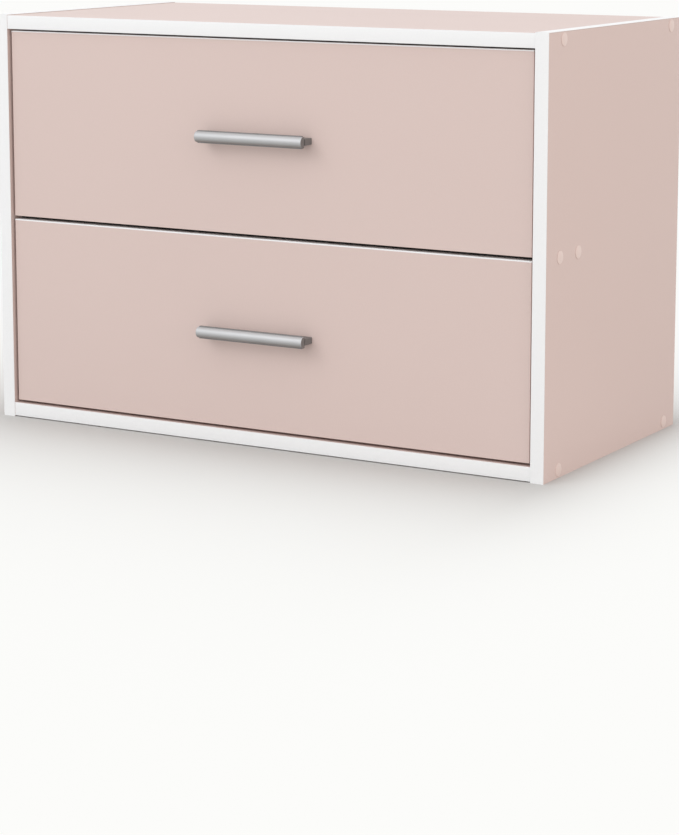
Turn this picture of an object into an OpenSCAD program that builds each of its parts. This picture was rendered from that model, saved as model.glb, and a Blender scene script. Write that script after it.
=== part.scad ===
// Two-drawer tabletop chest for discs: melamine-faced board with white edging, metal bar
// handles, and drawers that run on roller runners.
// Frame: X across the width, Y towards the back, Z up. The origin is the middle of the overall
// outline, with its handles, on the surface that the chest stands on. All sizes are in millimetres.

/* [Cabinet] */
// Overall width of the carcass
cabinet_w = 720; // [600:10:900]
// Overall height of the carcass
cabinet_h = 482; // [440:0.5:600]
// Overall depth of the carcass, with its back panel and without the handles
cabinet_d = 358; // [340:2:420]
// Thickness of the carcass boards
board_t = 16; // [15:0.5:18]
// How far the bottom board lies above the surface that the carcass sides stand on
bottom_lift = 1; // [0:0.5:4]
// How far the top board lies below the upper ends of the carcass sides
top_drop = 1; // [0.5:0.5:3]
// How far the top and the bottom board lie behind the front edges of the carcass sides
level_setback = 0.8; // [0.2:0.2:2]
// Thickness of the hardboard back
back_t = 3; // [2.5:0.5:5]
// How far the back panel stays inside the outline of the carcass
back_margin = 1.5; // [0.5:0.5:4]
// Thickness of the edging strips
band_t = 0.5; // [0.5:0.1:1.2]
// Thickness of the stronger strip along the upper edge of a drawer front
top_band_t = 1.4; // [0.5:0.1:2]
// Rounding along the outer edges of the edging strips
band_round = 0.4; // [0.2:0.1:0.6]
// Depth of the cross rail between the drawers, front to back
rail_depth = 70; // [50:5:100]
// Space between the drawer fronts and the cross rail
rail_clear = 1.5; // [1:0.5:4]

/* [Drawer fronts] */
// Thickness of the drawer fronts
front_t = 16; // [15:0.5:18]
// How far the drawer fronts lie behind the front edge of the carcass
front_recess = 4.5; // [1:0.5:8]
// Gap at each side of a drawer front
side_gap = 3; // [2:0.5:4]
// Gap above the upper drawer front
top_gap = 2; // [2:0.5:5]
// Gap between the two drawer fronts
mid_gap = 4; // [4:0.5:7]
// Gap below the lower drawer front
bottom_gap = 3; // [2:0.5:5]

/* [Drawer boxes] */
// Thickness of the box sides and of the box back
box_t = 12; // [11.5:0.5:13]
// Height of the box sides
box_h = 150; // [130:5:170]
// Length of the box sides and of the cabinet runners
box_l = 300; // [270:5:305]
// Thickness of the hardboard bottom
bottom_t = 3; // [2.5:0.5:4]
// Depth of the groove that holds the bottom
groove_depth = 6; // [4:0.5:7]
// Height of the groove above the lower edge of the box sides
groove_z = 12; // [11:0.5:20]

/* [Runners] */
// Space between a box side and the carcass side
runner_space = 12.5; // [12.5:0.1:13.5]
// Thickness of the runner steel
steel_t = 1.2; // [1:0.1:1.3]
// Middle-line radius of the bends in the runners
bend_r = 1.2; // [0.9:0.1:1.6]
// Height of the cabinet runner above the lower edge of its drawer front
runner_lift = 7; // [6.5:0.5:12]
// Height of the drawer runner above the foot of the cabinet runner
runner_seat = 6; // [5:0.5:8]
// Diameter of the rollers
roller_d = 22; // [19:0.5:23]
// Width of the rollers
roller_w = 6; // [5:0.25:6]
// Distance from the end of a runner to the middle of its roller
roller_inset = 14; // [13:0.5:20]
// Running gap between a roller and the steel that it meets
roller_gap = 0.3; // [0.2:0.05:0.5]
// Free height above the running flange
runner_play = 1.8; // [1:0.2:3]
// Length of the runners that stays in the cabinet when a drawer is pulled out
runner_overlap = 75; // [70:5:150]
// Height of the stop tabs on the cabinet runner
tab_h = 3; // [2:0.5:4]
// Width of the stop tabs
tab_w = 4; // [3:0.5:5]

/* [Handles] */
// Length of the handle bar
handle_l = 140; // [100:4:300]
// Diameter of the round sleeve at the front of the handle bar
handle_sleeve_d = 12.8; // [10:0.2:14.2]
// Height of the flat core that the sleeve is pressed onto
handle_core_h = 14.2; // [12:0.2:17]
// Depth of the flat core
handle_core_depth = 4.5; // [3:0.5:5.5]
// Depth of the handle bar from its front to its flat back
handle_bar_depth = 9; // [8:0.5:10.5]
// How far the handle stands out from the drawer front
handle_reach = 24; // [20:0.5:32]
// Width of a handle foot
foot_w = 12; // [9:0.5:16]
// Height of a handle foot
foot_h = 7.6; // [7:0.2:10]
// How far the handles lie above the middle of their drawer fronts
handle_shift = 0; // [-40:1:40]

/* [Screws, dowels and caps] */
// Distance of the front screws from the front edge
screw_front = 37; // [30:1:45]
// Distance of the rear screws from the rear face
screw_rear = 33; // [30:1:45]
// Distance of the rail's screws from its edges
rail_screw_inset = 12; // [10:1:18]
// Outer diameter of the carcass screws
screw_d = 7; // [6:0.1:7]
// Length of the carcass screws
screw_l = 50; // [40:1:60]
// Diameter of the carcass screws' heads
screw_head_d = 10; // [9:0.5:11]
// Depth of the carcass screws' heads
screw_head_h = 4; // [3.5:0.1:5]
// How deep the heads lie below the face of the board
screw_sink = 0.6; // [0.3:0.1:1]
// Diameter of the cover caps
cap_d = 14.5; // [12.5:0.5:15]
// Height of the cover caps at their middle
cap_t = 1.1; // [0.8:0.1:1.6]
// Height of the cover caps at their rim
cap_rim = 0.5; // [0.3:0.1:0.7]
// Diameter of the wooden dowels
dowel_d = 8; // [6:0.5:9]
// Length of the wooden dowels
dowel_l = 30; // [25:1:35]
// Depth of a dowel in the carcass side
dowel_in_side = 10; // [8:0.5:11]
// Distance from a dowel to the screw beside it
dowel_step = 32; // [20:1:60]
// Nails along the top and the bottom edge of the back
nails_across = 6; // [4:1:10]
// Nails up each side of the back
nails_up = 3; // [2:1:6]
// Length of the nails of the back
nail_l = 20; // [15:1:22]
// Diameter of the nails of the back
nail_d = 1.6; // [1.2:0.1:2]
// Diameter of the nail heads
nail_head_d = 4; // [3:0.2:5]
// Height of the nail heads
nail_head_t = 0.6; // [0.4:0.1:1]

/* [Drawer fittings] */
// Diameter of the cam housings that hold the drawer front
cam_d = 15; // [12:0.5:16]
// Depth of the cam housings
cam_depth = 10; // [9.5:0.1:10.5]
// Distance of the cams from the front end of a box side
cam_setback = 24; // [20:1:34]
// Height of the lower cam above the lower edge of a box side
cam_low = 38; // [34:1:50]
// Height of the upper cam above the lower edge of a box side
cam_high = 112; // [95:1:115]
// Thread diameter of the cam bolts
bolt_d = 5; // [4.5:0.1:5.5]
// Depth of the cam bolts in the drawer front
bolt_in_front = 11; // [9:0.5:12]
// Diameter of the screws that hold the handles
handle_screw_d = 4; // [3:0.5:4]
// Diameter of the screws at the back corners of the boxes
box_screw_d = 4; // [3:0.5:4.5]
// Length of the screws at the back corners of the boxes
box_screw_l = 40; // [30:1:50]
// Diameter of the screws that hold the runners
runner_screw_d = 3.5; // [3:0.1:3.5]
// Length of the screws that hold the cabinet runners
cabinet_screw_l = 13; // [10:0.5:14]
// Length of the screws that hold the drawer runners
drawer_screw_l = 10; // [8:0.5:10.5]
// Distance of the first runner screw from the front end of a runner
runner_screw_start = 40; // [36:1:48]
// Screws along each runner
runner_screws = 3; // [2:1:4]

/* [Hidden] */
$fn = 48;

rose = [0.86, 0.76, 0.73];
white = [0.95, 0.95, 0.95];
hardboard = [0.62, 0.47, 0.34];
aluminium = [0.70, 0.71, 0.72];
zinc = [0.75, 0.76, 0.78];
nylon = [0.93, 0.93, 0.90];
beech = [0.80, 0.65, 0.45];

// Clearances that keep pieces apart
hole_gap = 0.1;      // on the diameter of a hole for a screw, pin or dowel
bore_gap = 0.1;      // on the diameter of a roller's bore
seat_gap = 0.2;      // between a panel's edge and the end of its groove, and around a roller's sides
tip_gap = 0.5;       // from the tip of a screw or nail to the end of its hole
cut = 1;             // how far a cutting shape runs past the face that it cuts

// Carcass
handle_out = handle_reach - front_recess; // from the front of the carcass to the handles
front_y = (handle_out - nail_head_t - cabinet_d) / 2;
back_y = front_y + cabinet_d;
board_back_y = back_y - back_t;
inner_w = cabinet_w - 2 * board_t;
inner_x = inner_w / 2;
top_z = cabinet_h - top_drop - board_t;
level_front_y = front_y + level_setback;

// Drawer fronts
front_h = (top_z - bottom_lift - board_t - top_gap - mid_gap - bottom_gap) / 2;
front_w = inner_w - 2 * side_gap;
front_face_y = front_y + front_recess;
front_back_y = front_face_y + front_t;
lower_z = bottom_lift + board_t + bottom_gap;
upper_z = lower_z + front_h + mid_gap;

// Cross rail, level with the gap between the fronts
rail_y = front_back_y + rail_clear;
rail_z = upper_z - mid_gap / 2 - board_t / 2;

// Runners. Heights in their section are above the foot of the cabinet runner.
runner_setback = 1;  // from the back of a closed drawer front to the cabinet runner
roller_z = steel_t + roller_gap + roller_d / 2;
flange_z = roller_z + roller_d / 2 + roller_gap;
runner_h = flange_z + steel_t + runner_play + steel_t;
box_lift = runner_lift + runner_seat + steel_t;
runner_y = front_back_y + runner_setback;
drawer_travel = box_l - runner_overlap;
box_back_y = front_back_y + box_l;
front_roller_y = runner_y + roller_inset;
rear_roller_y = box_back_y - roller_inset;
web_gap = 0.6;       // between the edge of a cabinet runner's flanges and the drawer runner
flange_reach = runner_space - steel_t - web_gap;
flange_gap = 1.2;    // between the running flange and the web of the cabinet runner
lip_h = 3.2;         // height of the lip that keeps a roller on its track
lip_under_box = 10.5; // how far the drawer runner reaches under the box side
pin_d = 5;           // diameter of a roller pin where the roller turns
pin_head_d = 8;
pin_head_t = 0.8;
pin_shoulder_d = 7.5;
pin_tail_d = 4;      // diameter of a roller pin in the runner's steel
pin_clear = 0.5;     // between a pin's head and the web that it passes
roller_s = steel_t + pin_clear + pin_head_t + seat_gap; // from the carcass side to a roller
drawer_screw_z = 6;  // height of the drawer runner's screws above the lower edge of the box side
// From the middle of a roller to the stop tab that it meets
tab_offset = sqrt(pow(roller_d / 2, 2) - pow(roller_z - steel_t - tab_h, 2)) + roller_gap;

// Drawer box
box_w = inner_w - 2 * runner_space;
box_x = box_w / 2;
box_inner_x = box_x - box_t;
groove_h = bottom_t + seat_gap;

// Handle
bar_back_y = front_face_y - handle_reach + handle_bar_depth;
foot_x = (handle_l - foot_w) / 2;
handle_screw_head_d = 8;
handle_screw_head_t = 2.4;
handle_screw_in_foot = handle_reach - handle_bar_depth - 5;
handle_screw_play = 0.4; // on the diameter of the handle screws' holes in the drawer front

// Screws and nails
screw_core = screw_d - 2;
screw_pitch = 2.9;
socket_d = 4.6;      // across the corners of the hexagonal socket
socket_depth = 3;
plug_d = 3.6;        // diameter of a cap's stem
plug_depth = 2;      // depth of a cap's stem in the socket
small_head_d = 6.4;  // head of a runner screw
box_screw_head_d = 8;
box_screw_head_h = 2.6;
box_screw_zs = [45, 120]; // above the lower edge of the box side
bottom_screw_d = 3;
bottom_screw_l = 16;
bottom_screw_head_d = 6;
bottom_screw_head_t = 1.6;
bottom_screw_inset = 32; // from a box side to the outer screw of the bottom
core_share = 0.36;   // core radius of a wood screw's thread as a share of its diameter
pitch_share = 0.45;  // pitch of a wood screw's thread as a share of its diameter
head_rim = 0.2;      // height of the straight rim of a countersunk head
bolt_collar_d = bolt_d + 2;
bolt_head_d = bolt_d + 1.6;
cam_play = 0.2;      // between a cam's ends and its pocket

// Where the carcass screws go: [y, z]
joint_ys = [front_y + screw_front, back_y - screw_rear];
dowel_ys = [front_y + screw_front + dowel_step, back_y - screw_rear - dowel_step];
rail_ys = [rail_y + rail_screw_inset, rail_y + rail_depth - rail_screw_inset];
joint_zs = [bottom_lift + board_t / 2, top_z + board_t / 2];
screw_places = concat(
    [for (y = joint_ys, z = joint_zs) [y, z]],
    [for (y = rail_ys) [y, rail_z + board_t / 2]]);
dowel_places = [for (y = dowel_ys, z = joint_zs) [y, z]];
nail_xs = [for (i = [0 : nails_across - 1])
    (i + 0.5 - nails_across / 2) * inner_w / nails_across];
nail_zs = [for (i = [0 : nails_up - 1]) cabinet_h * (i + 0.5) / nails_up];
nail_places = concat(
    [for (x = nail_xs, z = joint_zs) [x, z]],
    [for (s = [-1, 1], z = nail_zs) [s * (cabinet_w - board_t) / 2, z]]);
runner_screw_ys = [for (i = [0 : runner_screws - 1]) runner_y + runner_screw_start
    + i * (box_l - runner_screw_start - roller_inset * 2) / runner_screws];
cam_zs = [cam_low, cam_high];

// ---------------------------------------------------------------- helpers

// Turns local +Z to point outwards along X on the given side
module outward(side, x, y, z) {
    translate([side * x, y, z]) rotate([0, side * 90, 0]) children();
}

// Turns local +Z to point to the back
module backward(x, y, z) {
    translate([x, y, z]) rotate([-90, 0, 0]) children();
}

// Draws a right-hand piece as it is and a left-hand piece as its mirror image
module handed(side) {
    if (side > 0) children();
    else mirror([1, 0, 0]) children();
}

// A block between two corners
module block(low, high) {
    translate(low) cube(high - low);
}

// Sweeps an outline drawn in X and Z along Y
module along_y(y0, y1) {
    translate([0, y1, 0]) rotate([90, 0, 0]) linear_extrude(y1 - y0) children();
}

// Section of an edging strip: flat against the board, rounded outside
module strip_section(w, t = band_t) {
    r = min(band_round, t / 2);
    translate([-w / 2, 0]) square([w, t - r]);
    translate([r - w / 2, 0]) square([w - 2 * r, t]);
    for (s = [-1, 1]) translate([s * (w / 2 - r), t - r]) circle(r);
}

// A strip that faces the front, standing up from the given point
module front_strip_up(x, z0, z1, w) {
    translate([x, front_y + band_t, z0]) linear_extrude(z1 - z0) mirror([0, 1]) strip_section(w);
}

// A strip that faces the front, lying across the width
module front_strip_across(y, z, half_w, w) {
    translate([-half_w, y + band_t, z]) rotate([90, 0, 90])
        linear_extrude(2 * half_w) rotate([0, 0, 90]) strip_section(w);
}

// Outline of a bent sheet-metal section that follows a line of corners
function unit(v) = v / norm(v);
function left_of(v) = [-v.y, v.x];
function turned(v, a) = [v.x * cos(a) - v.y * sin(a), v.x * sin(a) + v.y * cos(a)];
function bend(a, b, c, r, n) =
    let (u = unit(b - a), w = unit(c - b), s = sign(u.x * w.y - u.y * w.x),
        angle = acos(u * w), start = b - u * r * tan(angle / 2),
        centre = start + s * r * left_of(u))
    [for (k = [0 : n]) let (m = turned(-s * left_of(u), s * angle * k / n))
        [centre + r * m, -s * m]];
function sheet_line(points, r) =
    let (last = len(points) - 1)
    concat(
        [[points[0], left_of(unit(points[1] - points[0]))]],
        [for (i = [1 : last - 1]) each bend(points[i - 1], points[i], points[i + 1], r, 4)],
        [[points[last], left_of(unit(points[last] - points[last - 1]))]]);
function sheet_outline(points, t, r) =
    let (line = sheet_line(points, r))
    concat(
        [for (q = line) q[0] + q[1] * t / 2],
        [for (i = [len(line) - 1 : -1 : 0]) line[i][0] - line[i][1] * t / 2]);

// Ridges of a screw thread as an outline of radius and height, from the tip upwards
function thread(core_r, outer_r, z0, z1, pitch) =
    let (turns = floor((z1 - z0) / pitch), step = (z1 - z0) / turns)
    [for (i = [0 : turns - 1], k = [0 : 1])
        k == 0 ? [core_r, z0 + i * step] : [outer_r, z0 + (i + 0.5) * step]];

// A countersunk wood screw along -Z, its head's top at the origin
module wood_screw(d, l, head_d, head_h) {
    core = d * core_share;
    rotate_extrude() polygon(concat(
        [[0, 0], [0, -l], [core * 0.3, -l]],
        thread(core, d / 2, d - l, -head_h - 1, d * pitch_share),
        [[core, -head_h - 1], [core, -head_h], [head_d / 2, -head_rim], [head_d / 2, 0]]));
}

// The hole that a countersunk wood screw needs, its mouth at the origin
module wood_screw_hole(d, l, head_d, head_h) {
    r = (d + hole_gap) / 2;
    head_r = (head_d + hole_gap) / 2;
    translate([0, 0, -l - tip_gap]) cylinder(r = r, h = l + tip_gap + cut);
    translate([0, 0, -head_h]) cylinder(r1 = r, r2 = head_r, h = head_h - head_rim);
    translate([0, 0, -head_rim]) cylinder(r = head_r, h = head_rim + cut);
}

// ---------------------------------------------------------------- carcass

// The stepped hole of a carcass screw, its mouth at the origin
module carcass_screw_hole() {
    translate([0, 0, -screw_l - tip_gap])
        cylinder(d = screw_d + hole_gap, h = screw_l + tip_gap + cut);
    translate([0, 0, -screw_sink - screw_head_h])
        cylinder(d1 = screw_d + hole_gap, d2 = screw_head_d + hole_gap, h = screw_head_h / 2);
    translate([0, 0, -screw_sink - screw_head_h / 2])
        cylinder(d = screw_head_d + hole_gap, h = screw_head_h / 2 + screw_sink + cut);
}

module carcass_screw() {
    top = -screw_sink;
    neck = top - screw_head_h;
    collar = neck - 6;
    tip = 2;
    difference() {
        rotate_extrude() polygon(concat(
            [[0, top], [0, -screw_l], [screw_core / 2 - 1, -screw_l]],
            thread(screw_core / 2, screw_d / 2, tip - screw_l, collar, screw_pitch),
            [[screw_core / 2, collar], [screw_d / 2, collar], [screw_d / 2, neck],
                [screw_head_d / 2, top - screw_head_h / 2], [screw_head_d / 2, top]]));
        translate([0, 0, top - socket_depth])
            rotate([0, 0, 30]) cylinder(d = socket_d, h = socket_depth + cut, $fn = 6);
    }
}

module carcass_screw_holes(side) {
    for (p = screw_places) outward(side, cabinet_w / 2, p.x, p.y) carcass_screw_hole();
}

module dowel_holes(side) {
    depth = dowel_l - dowel_in_side + tip_gap;
    for (p = dowel_places) outward(side, inner_x, p.x, p.y) translate([0, 0, -depth])
        cylinder(d = dowel_d + hole_gap, h = depth + dowel_in_side + tip_gap);
}

module nail_holes() {
    for (p = nail_places) backward(p.x, back_y, p.y)
        translate([0, 0, -nail_l - tip_gap])
            cylinder(d = nail_d + hole_gap, h = nail_l + tip_gap + cut);
}

module side_panel(side) {
    color(rose) difference() {
        handed(side) block([inner_x, front_y + band_t, 0],
            [cabinet_w / 2, board_back_y, cabinet_h - band_t]);
        carcass_screw_holes(side);
        dowel_holes(side);
        for (z0 = [lower_z, upper_z]) cabinet_runner_screw_holes(side, z0);
        nail_holes();
    }
}

module level_panel(z0) {
    color(rose) difference() {
        block([-inner_x, level_front_y + band_t, z0], [inner_x, board_back_y, z0 + board_t]);
        for (side = [-1, 1]) {
            carcass_screw_holes(side);
            dowel_holes(side);
        }
        nail_holes();
    }
}

module divider_rail() {
    color(rose) difference() {
        block([-inner_x, rail_y + band_t, rail_z],
            [inner_x, rail_y + rail_depth, rail_z + board_t]);
        for (side = [-1, 1]) carcass_screw_holes(side);
    }
}

module back_panel() {
    color(hardboard) difference() {
        block([back_margin - cabinet_w / 2, board_back_y, back_margin],
            [cabinet_w / 2 - back_margin, back_y, cabinet_h - back_margin]);
        nail_holes();
    }
}

// Front strip and top strip of a carcass side
module side_edging(side) {
    color(white) {
        front_strip_up(side * (cabinet_w - board_t) / 2, 0, cabinet_h, board_t);
        handed(side) translate([(cabinet_w - board_t) / 2, 0, cabinet_h - band_t])
            along_y(front_y + band_t, board_back_y) strip_section(board_t);
    }
}

module level_edging(z0) {
    color(white) front_strip_across(level_front_y, z0 + board_t / 2, inner_x, board_t);
}

module divider_rail_edging() {
    color(white) front_strip_across(rail_y, rail_z + board_t / 2, inner_x, board_t);
}

// A cover cap: a low dome with a stem that sits in the screw's socket
module cover_cap() {
    steps = 5;
    foot = -screw_sink - plug_depth;
    rotate_extrude() polygon(concat(
        [[0, foot], [plug_d / 2, foot], [plug_d / 2, 0], [cap_d / 2, 0]],
        [for (i = [steps : -1 : 0]) let (f = i / steps)
            [f * cap_d / 2, cap_t - (cap_t - cap_rim) * f * f]]));
}

module cover_caps(side) {
    color(rose) for (p = screw_places) outward(side, cabinet_w / 2, p.x, p.y) cover_cap();
}

module carcass_screws() {
    color(zinc) for (side = [-1, 1], p = screw_places)
        outward(side, cabinet_w / 2, p.x, p.y) carcass_screw();
}

module carcass_dowels() {
    bevel = 1;
    color(beech) for (side = [-1, 1], p = dowel_places) outward(side, inner_x, p.x, p.y)
        translate([0, 0, dowel_in_side - dowel_l]) {
            translate([0, 0, bevel]) cylinder(d = dowel_d, h = dowel_l - 2 * bevel);
            cylinder(d1 = dowel_d - 2 * bevel, d2 = dowel_d, h = bevel);
            translate([0, 0, dowel_l - bevel])
                cylinder(d1 = dowel_d, d2 = dowel_d - 2 * bevel, h = bevel);
        }
}

module back_nails() {
    point = 2;
    color(zinc) for (p = nail_places) backward(p.x, back_y, p.y) {
        cylinder(d = nail_head_d, h = nail_head_t);
        translate([0, 0, point - nail_l]) cylinder(d = nail_d, h = nail_l - point);
        translate([0, 0, -nail_l]) cylinder(d1 = 0.3, d2 = nail_d, h = point);
    }
}

// ---------------------------------------------------------------- runners

module stop_tab(z0, y0, y1) {
    s = roller_s + roller_w / 2;
    block([inner_x - s - tab_w / 2, y0, z0 + steel_t / 2],
        [inner_x - s + tab_w / 2, y1, z0 + steel_t + tab_h]);
}

module cabinet_runner(side, front_z) {
    z0 = front_z + runner_lift;
    mid = steel_t / 2;
    line = [[flange_reach - mid, lip_h], [flange_reach - mid, mid], [mid, mid],
        [mid, runner_h - mid], [flange_reach, runner_h - mid]];
    stop_y = rear_roller_y - drawer_travel - tab_offset;
    color(white) handed(side) difference() {
        union() {
            translate([inner_x, 0, z0]) mirror([1, 0, 0]) along_y(runner_y, runner_y + box_l)
                polygon(sheet_outline(line, steel_t, bend_r));
            stop_tab(z0, stop_y - steel_t, stop_y);
            stop_tab(z0, rear_roller_y + tab_offset, rear_roller_y + tab_offset + steel_t);
        }
        for (y = runner_screw_ys) cabinet_runner_screw_hole(y, z0);
        outward(1, inner_x, front_roller_y, z0 + roller_z)
            translate([0, 0, -steel_t - cut])
                cylinder(d = pin_tail_d + hole_gap, h = steel_t + 2 * cut);
    }
}

module runner_screw(l) {
    wood_screw(runner_screw_d, l, small_head_d, steel_t);
}

module runner_screw_hole(l) {
    wood_screw_hole(runner_screw_d, l, small_head_d, steel_t);
}

// Screws of a cabinet runner are driven outwards, into the right-hand carcass side
module cabinet_runner_screw_hole(y, z0) {
    translate([inner_x - steel_t, y, z0 + roller_z]) rotate([0, -90, 0])
        runner_screw_hole(cabinet_screw_l);
}

module cabinet_runner_screw_holes(side, front_z) {
    handed(side) for (y = runner_screw_ys)
        cabinet_runner_screw_hole(y, front_z + runner_lift);
}

module cabinet_runner_screws() {
    color(zinc) for (side = [-1, 1], front_z = [lower_z, upper_z]) handed(side)
        for (y = runner_screw_ys)
            translate([inner_x - steel_t, y, front_z + runner_lift + roller_z])
                rotate([0, -90, 0]) runner_screw(cabinet_screw_l);
}

// A roller pin that stands on a web. Local +Z points from the web to the roller.
module roller_pin(shoulder) {
    axle = roller_w + 2 * seat_gap;
    translate([0, 0, -steel_t]) cylinder(d = pin_tail_d, h = steel_t);
    cylinder(d = pin_shoulder_d, h = shoulder);
    translate([0, 0, shoulder]) cylinder(d = pin_d, h = axle);
    translate([0, 0, shoulder + axle]) cylinder(d = pin_head_d, h = pin_head_t);
}

module cabinet_roller_pins() {
    shoulder = roller_s - seat_gap - steel_t;
    color(zinc) for (side = [-1, 1], front_z = [lower_z, upper_z]) handed(side)
        translate([inner_x - steel_t, front_roller_y, front_z + runner_lift + roller_z])
            rotate([0, -90, 0]) roller_pin(shoulder);
}

// A roller with a tyre, a thinner disc and a hub, turning on its pin
module roller(side, y, front_z) {
    rim = 2.4;
    dish = 1;
    hub_t = 2.5;
    bevel = 0.6;
    r = roller_d / 2;
    bore_r = (pin_d + bore_gap) / 2;
    hub_r = bore_r + hub_t;
    color(nylon) handed(side)
        translate([inner_x - roller_s, y, front_z + runner_lift + roller_z])
            rotate([0, -90, 0]) rotate_extrude($fn = 72) polygon([
                [bore_r, 0], [hub_r, 0], [hub_r, dish], [r - rim, dish],
                [r - rim, 0], [r - bevel, 0], [r, bevel], [r, roller_w - bevel],
                [r - bevel, roller_w], [r - rim, roller_w], [r - rim, roller_w - dish],
                [hub_r, roller_w - dish], [hub_r, roller_w], [bore_r, roller_w]]);
}

// ---------------------------------------------------------------- drawers

module drawer_front(z0) {
    grip_z = z0 + front_h / 2 + handle_shift;
    floor_z = z0 + box_lift + groove_z;
    color(rose) difference() {
        block([band_t - front_w / 2, front_face_y, z0 + band_t],
            [front_w / 2 - band_t, front_back_y, z0 + front_h - top_band_t]);
        block([-box_inner_x - groove_depth, front_back_y - groove_depth, floor_z],
            [box_inner_x + groove_depth, front_back_y + cut, floor_z + groove_h]);
        for (s = [-1, 1]) backward(s * foot_x, front_face_y - cut, grip_z)
            cylinder(d = handle_screw_d + handle_screw_play, h = front_t + 2 * cut);
        for (s = [-1, 1], z = cam_zs)
            backward(s * (box_x - box_t / 2), front_back_y - bolt_in_front - tip_gap,
                z0 + box_lift + z)
                cylinder(d = bolt_d + hole_gap, h = bolt_in_front + tip_gap + cut);
    }
}

// Strips round a drawer front: a stronger white one on top, thin rose ones on the other sides.
// The upright ones fit between the level ones.
module drawer_front_edging(z0) {
    mid_y = (front_face_y + front_back_y) / 2;
    color(white) translate([-front_w / 2, mid_y, z0 + front_h - top_band_t])
        rotate([90, 0, 90]) linear_extrude(front_w) strip_section(front_t, top_band_t);
    color(rose) {
        translate([-front_w / 2, mid_y, z0 + band_t]) mirror([0, 0, 1])
            rotate([90, 0, 90]) linear_extrude(front_w) strip_section(front_t);
        for (s = [-1, 1])
            translate([s * (front_w / 2 - band_t), mid_y, z0 + band_t])
                linear_extrude(front_h - band_t - top_band_t) rotate([0, 0, -s * 90])
                    strip_section(front_t);
    }
}

// A bar whose round sleeve is cut flat at the back and stands on a flat core
module handle_bar(z0) {
    grip_z = z0 + front_h / 2 + handle_shift;
    r = handle_sleeve_d / 2;
    color(aluminium) translate([-handle_l / 2, bar_back_y, grip_z])
        rotate([90, 0, 90]) linear_extrude(handle_l) {
            intersection() {
                translate([r - handle_bar_depth, 0]) circle(r, $fn = 96);
                translate([-handle_bar_depth, -r]) square([handle_bar_depth, 2 * r]);
            }
            translate([-handle_core_depth, -handle_core_h / 2])
                square([handle_core_depth, handle_core_h]);
        }
}

module handle_feet(z0) {
    grip_z = z0 + front_h / 2 + handle_shift;
    color(aluminium) for (s = [-1, 1]) difference() {
        block([s * foot_x - foot_w / 2, bar_back_y, grip_z - foot_h / 2],
            [s * foot_x + foot_w / 2, front_face_y, grip_z + foot_h / 2]);
        backward(s * foot_x, front_face_y - handle_screw_in_foot - tip_gap, grip_z)
            cylinder(d = handle_screw_d + hole_gap, h = handle_screw_in_foot + tip_gap + cut);
    }
}

module handle_screws(z0) {
    grip_z = z0 + front_h / 2 + handle_shift;
    slot_w = 1;
    color(zinc) for (s = [-1, 1]) backward(s * foot_x, front_back_y, grip_z) difference() {
        union() {
            cylinder(d = handle_screw_head_d, h = handle_screw_head_t);
            translate([0, 0, -front_t - handle_screw_in_foot])
                cylinder(d = handle_screw_d, h = front_t + handle_screw_in_foot);
        }
        for (a = [0, 90]) rotate([0, 0, a])
            block([-handle_screw_head_d / 3, -slot_w / 2, handle_screw_head_t - 1.2],
                [handle_screw_head_d / 3, slot_w / 2, handle_screw_head_t + cut]);
    }
}

// Holes of the screws that join a box side to the box back
module box_corner_hole() {
    wood_screw_hole(box_screw_d, box_screw_l, box_screw_head_d, box_screw_head_h);
}

module box_corners(side, z0) {
    for (z = box_screw_zs) outward(side, box_x, box_back_y - box_t / 2, z0 + box_lift + z)
        children();
}

// Screws of a drawer runner are driven inwards, into the right-hand box side
module drawer_runner_screw_places(z0) {
    for (y = runner_screw_ys)
        translate([box_x + steel_t, y, z0 + box_lift + drawer_screw_z])
            rotate([0, 90, 0]) children();
}

module box_side(side, z0) {
    bottom_z = z0 + box_lift;
    color(white) difference() {
        handed(side) difference() {
            block([box_inner_x, front_back_y, bottom_z], [box_x, box_back_y, bottom_z + box_h]);
            block([box_inner_x - cut, front_back_y - cut, bottom_z + groove_z],
                [box_inner_x + groove_depth, box_back_y + cut, bottom_z + groove_z + groove_h]);
            for (z = cam_zs) {
                outward(1, box_x - cam_depth, front_back_y + cam_setback, bottom_z + z)
                    cylinder(d = cam_d + hole_gap, h = cam_depth + cut);
                backward(box_x - box_t / 2, front_back_y - cut, bottom_z + z)
                    cylinder(d = bolt_collar_d + hole_gap, h = cam_setback + cut);
            }
            translate([box_x, 0, bottom_z]) along_y(front_back_y - cut, box_back_y + cut)
                rotate(45) square(bend_r * sqrt(2), center = true);
            drawer_runner_screw_places(z0) runner_screw_hole(drawer_screw_l);
        }
        box_corners(side, z0) box_corner_hole();
    }
}

module box_back(z0) {
    floor_top = z0 + box_lift + groove_z + bottom_t;
    color(white) difference() {
        block([-box_inner_x, box_back_y - box_t, floor_top],
            [box_inner_x, box_back_y, z0 + box_lift + box_h]);
        for (side = [-1, 1]) box_corners(side, z0) box_corner_hole();
        bottom_screw_places(z0) bottom_screw_hole();
    }
}

module box_bottom(z0) {
    floor_z = z0 + box_lift + groove_z;
    reach = box_inner_x + groove_depth - seat_gap;
    color(hardboard) difference() {
        block([-reach, front_back_y - groove_depth + seat_gap, floor_z],
            [reach, box_back_y, floor_z + bottom_t]);
        bottom_screw_places(z0) bottom_screw_hole();
    }
}

// Screws that hold the bottom up against the box back, driven from below
module bottom_screw_places(z0) {
    reach = box_inner_x - bottom_screw_inset;
    for (x = [-reach, 0, reach])
        translate([x, box_back_y - box_t / 2, z0 + box_lift + groove_z])
            rotate([180, 0, 0]) children();
}

module bottom_screw_hole() {
    translate([0, 0, -bottom_screw_l - tip_gap])
        cylinder(d = bottom_screw_d + hole_gap, h = bottom_screw_l + tip_gap + cut);
}

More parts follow.
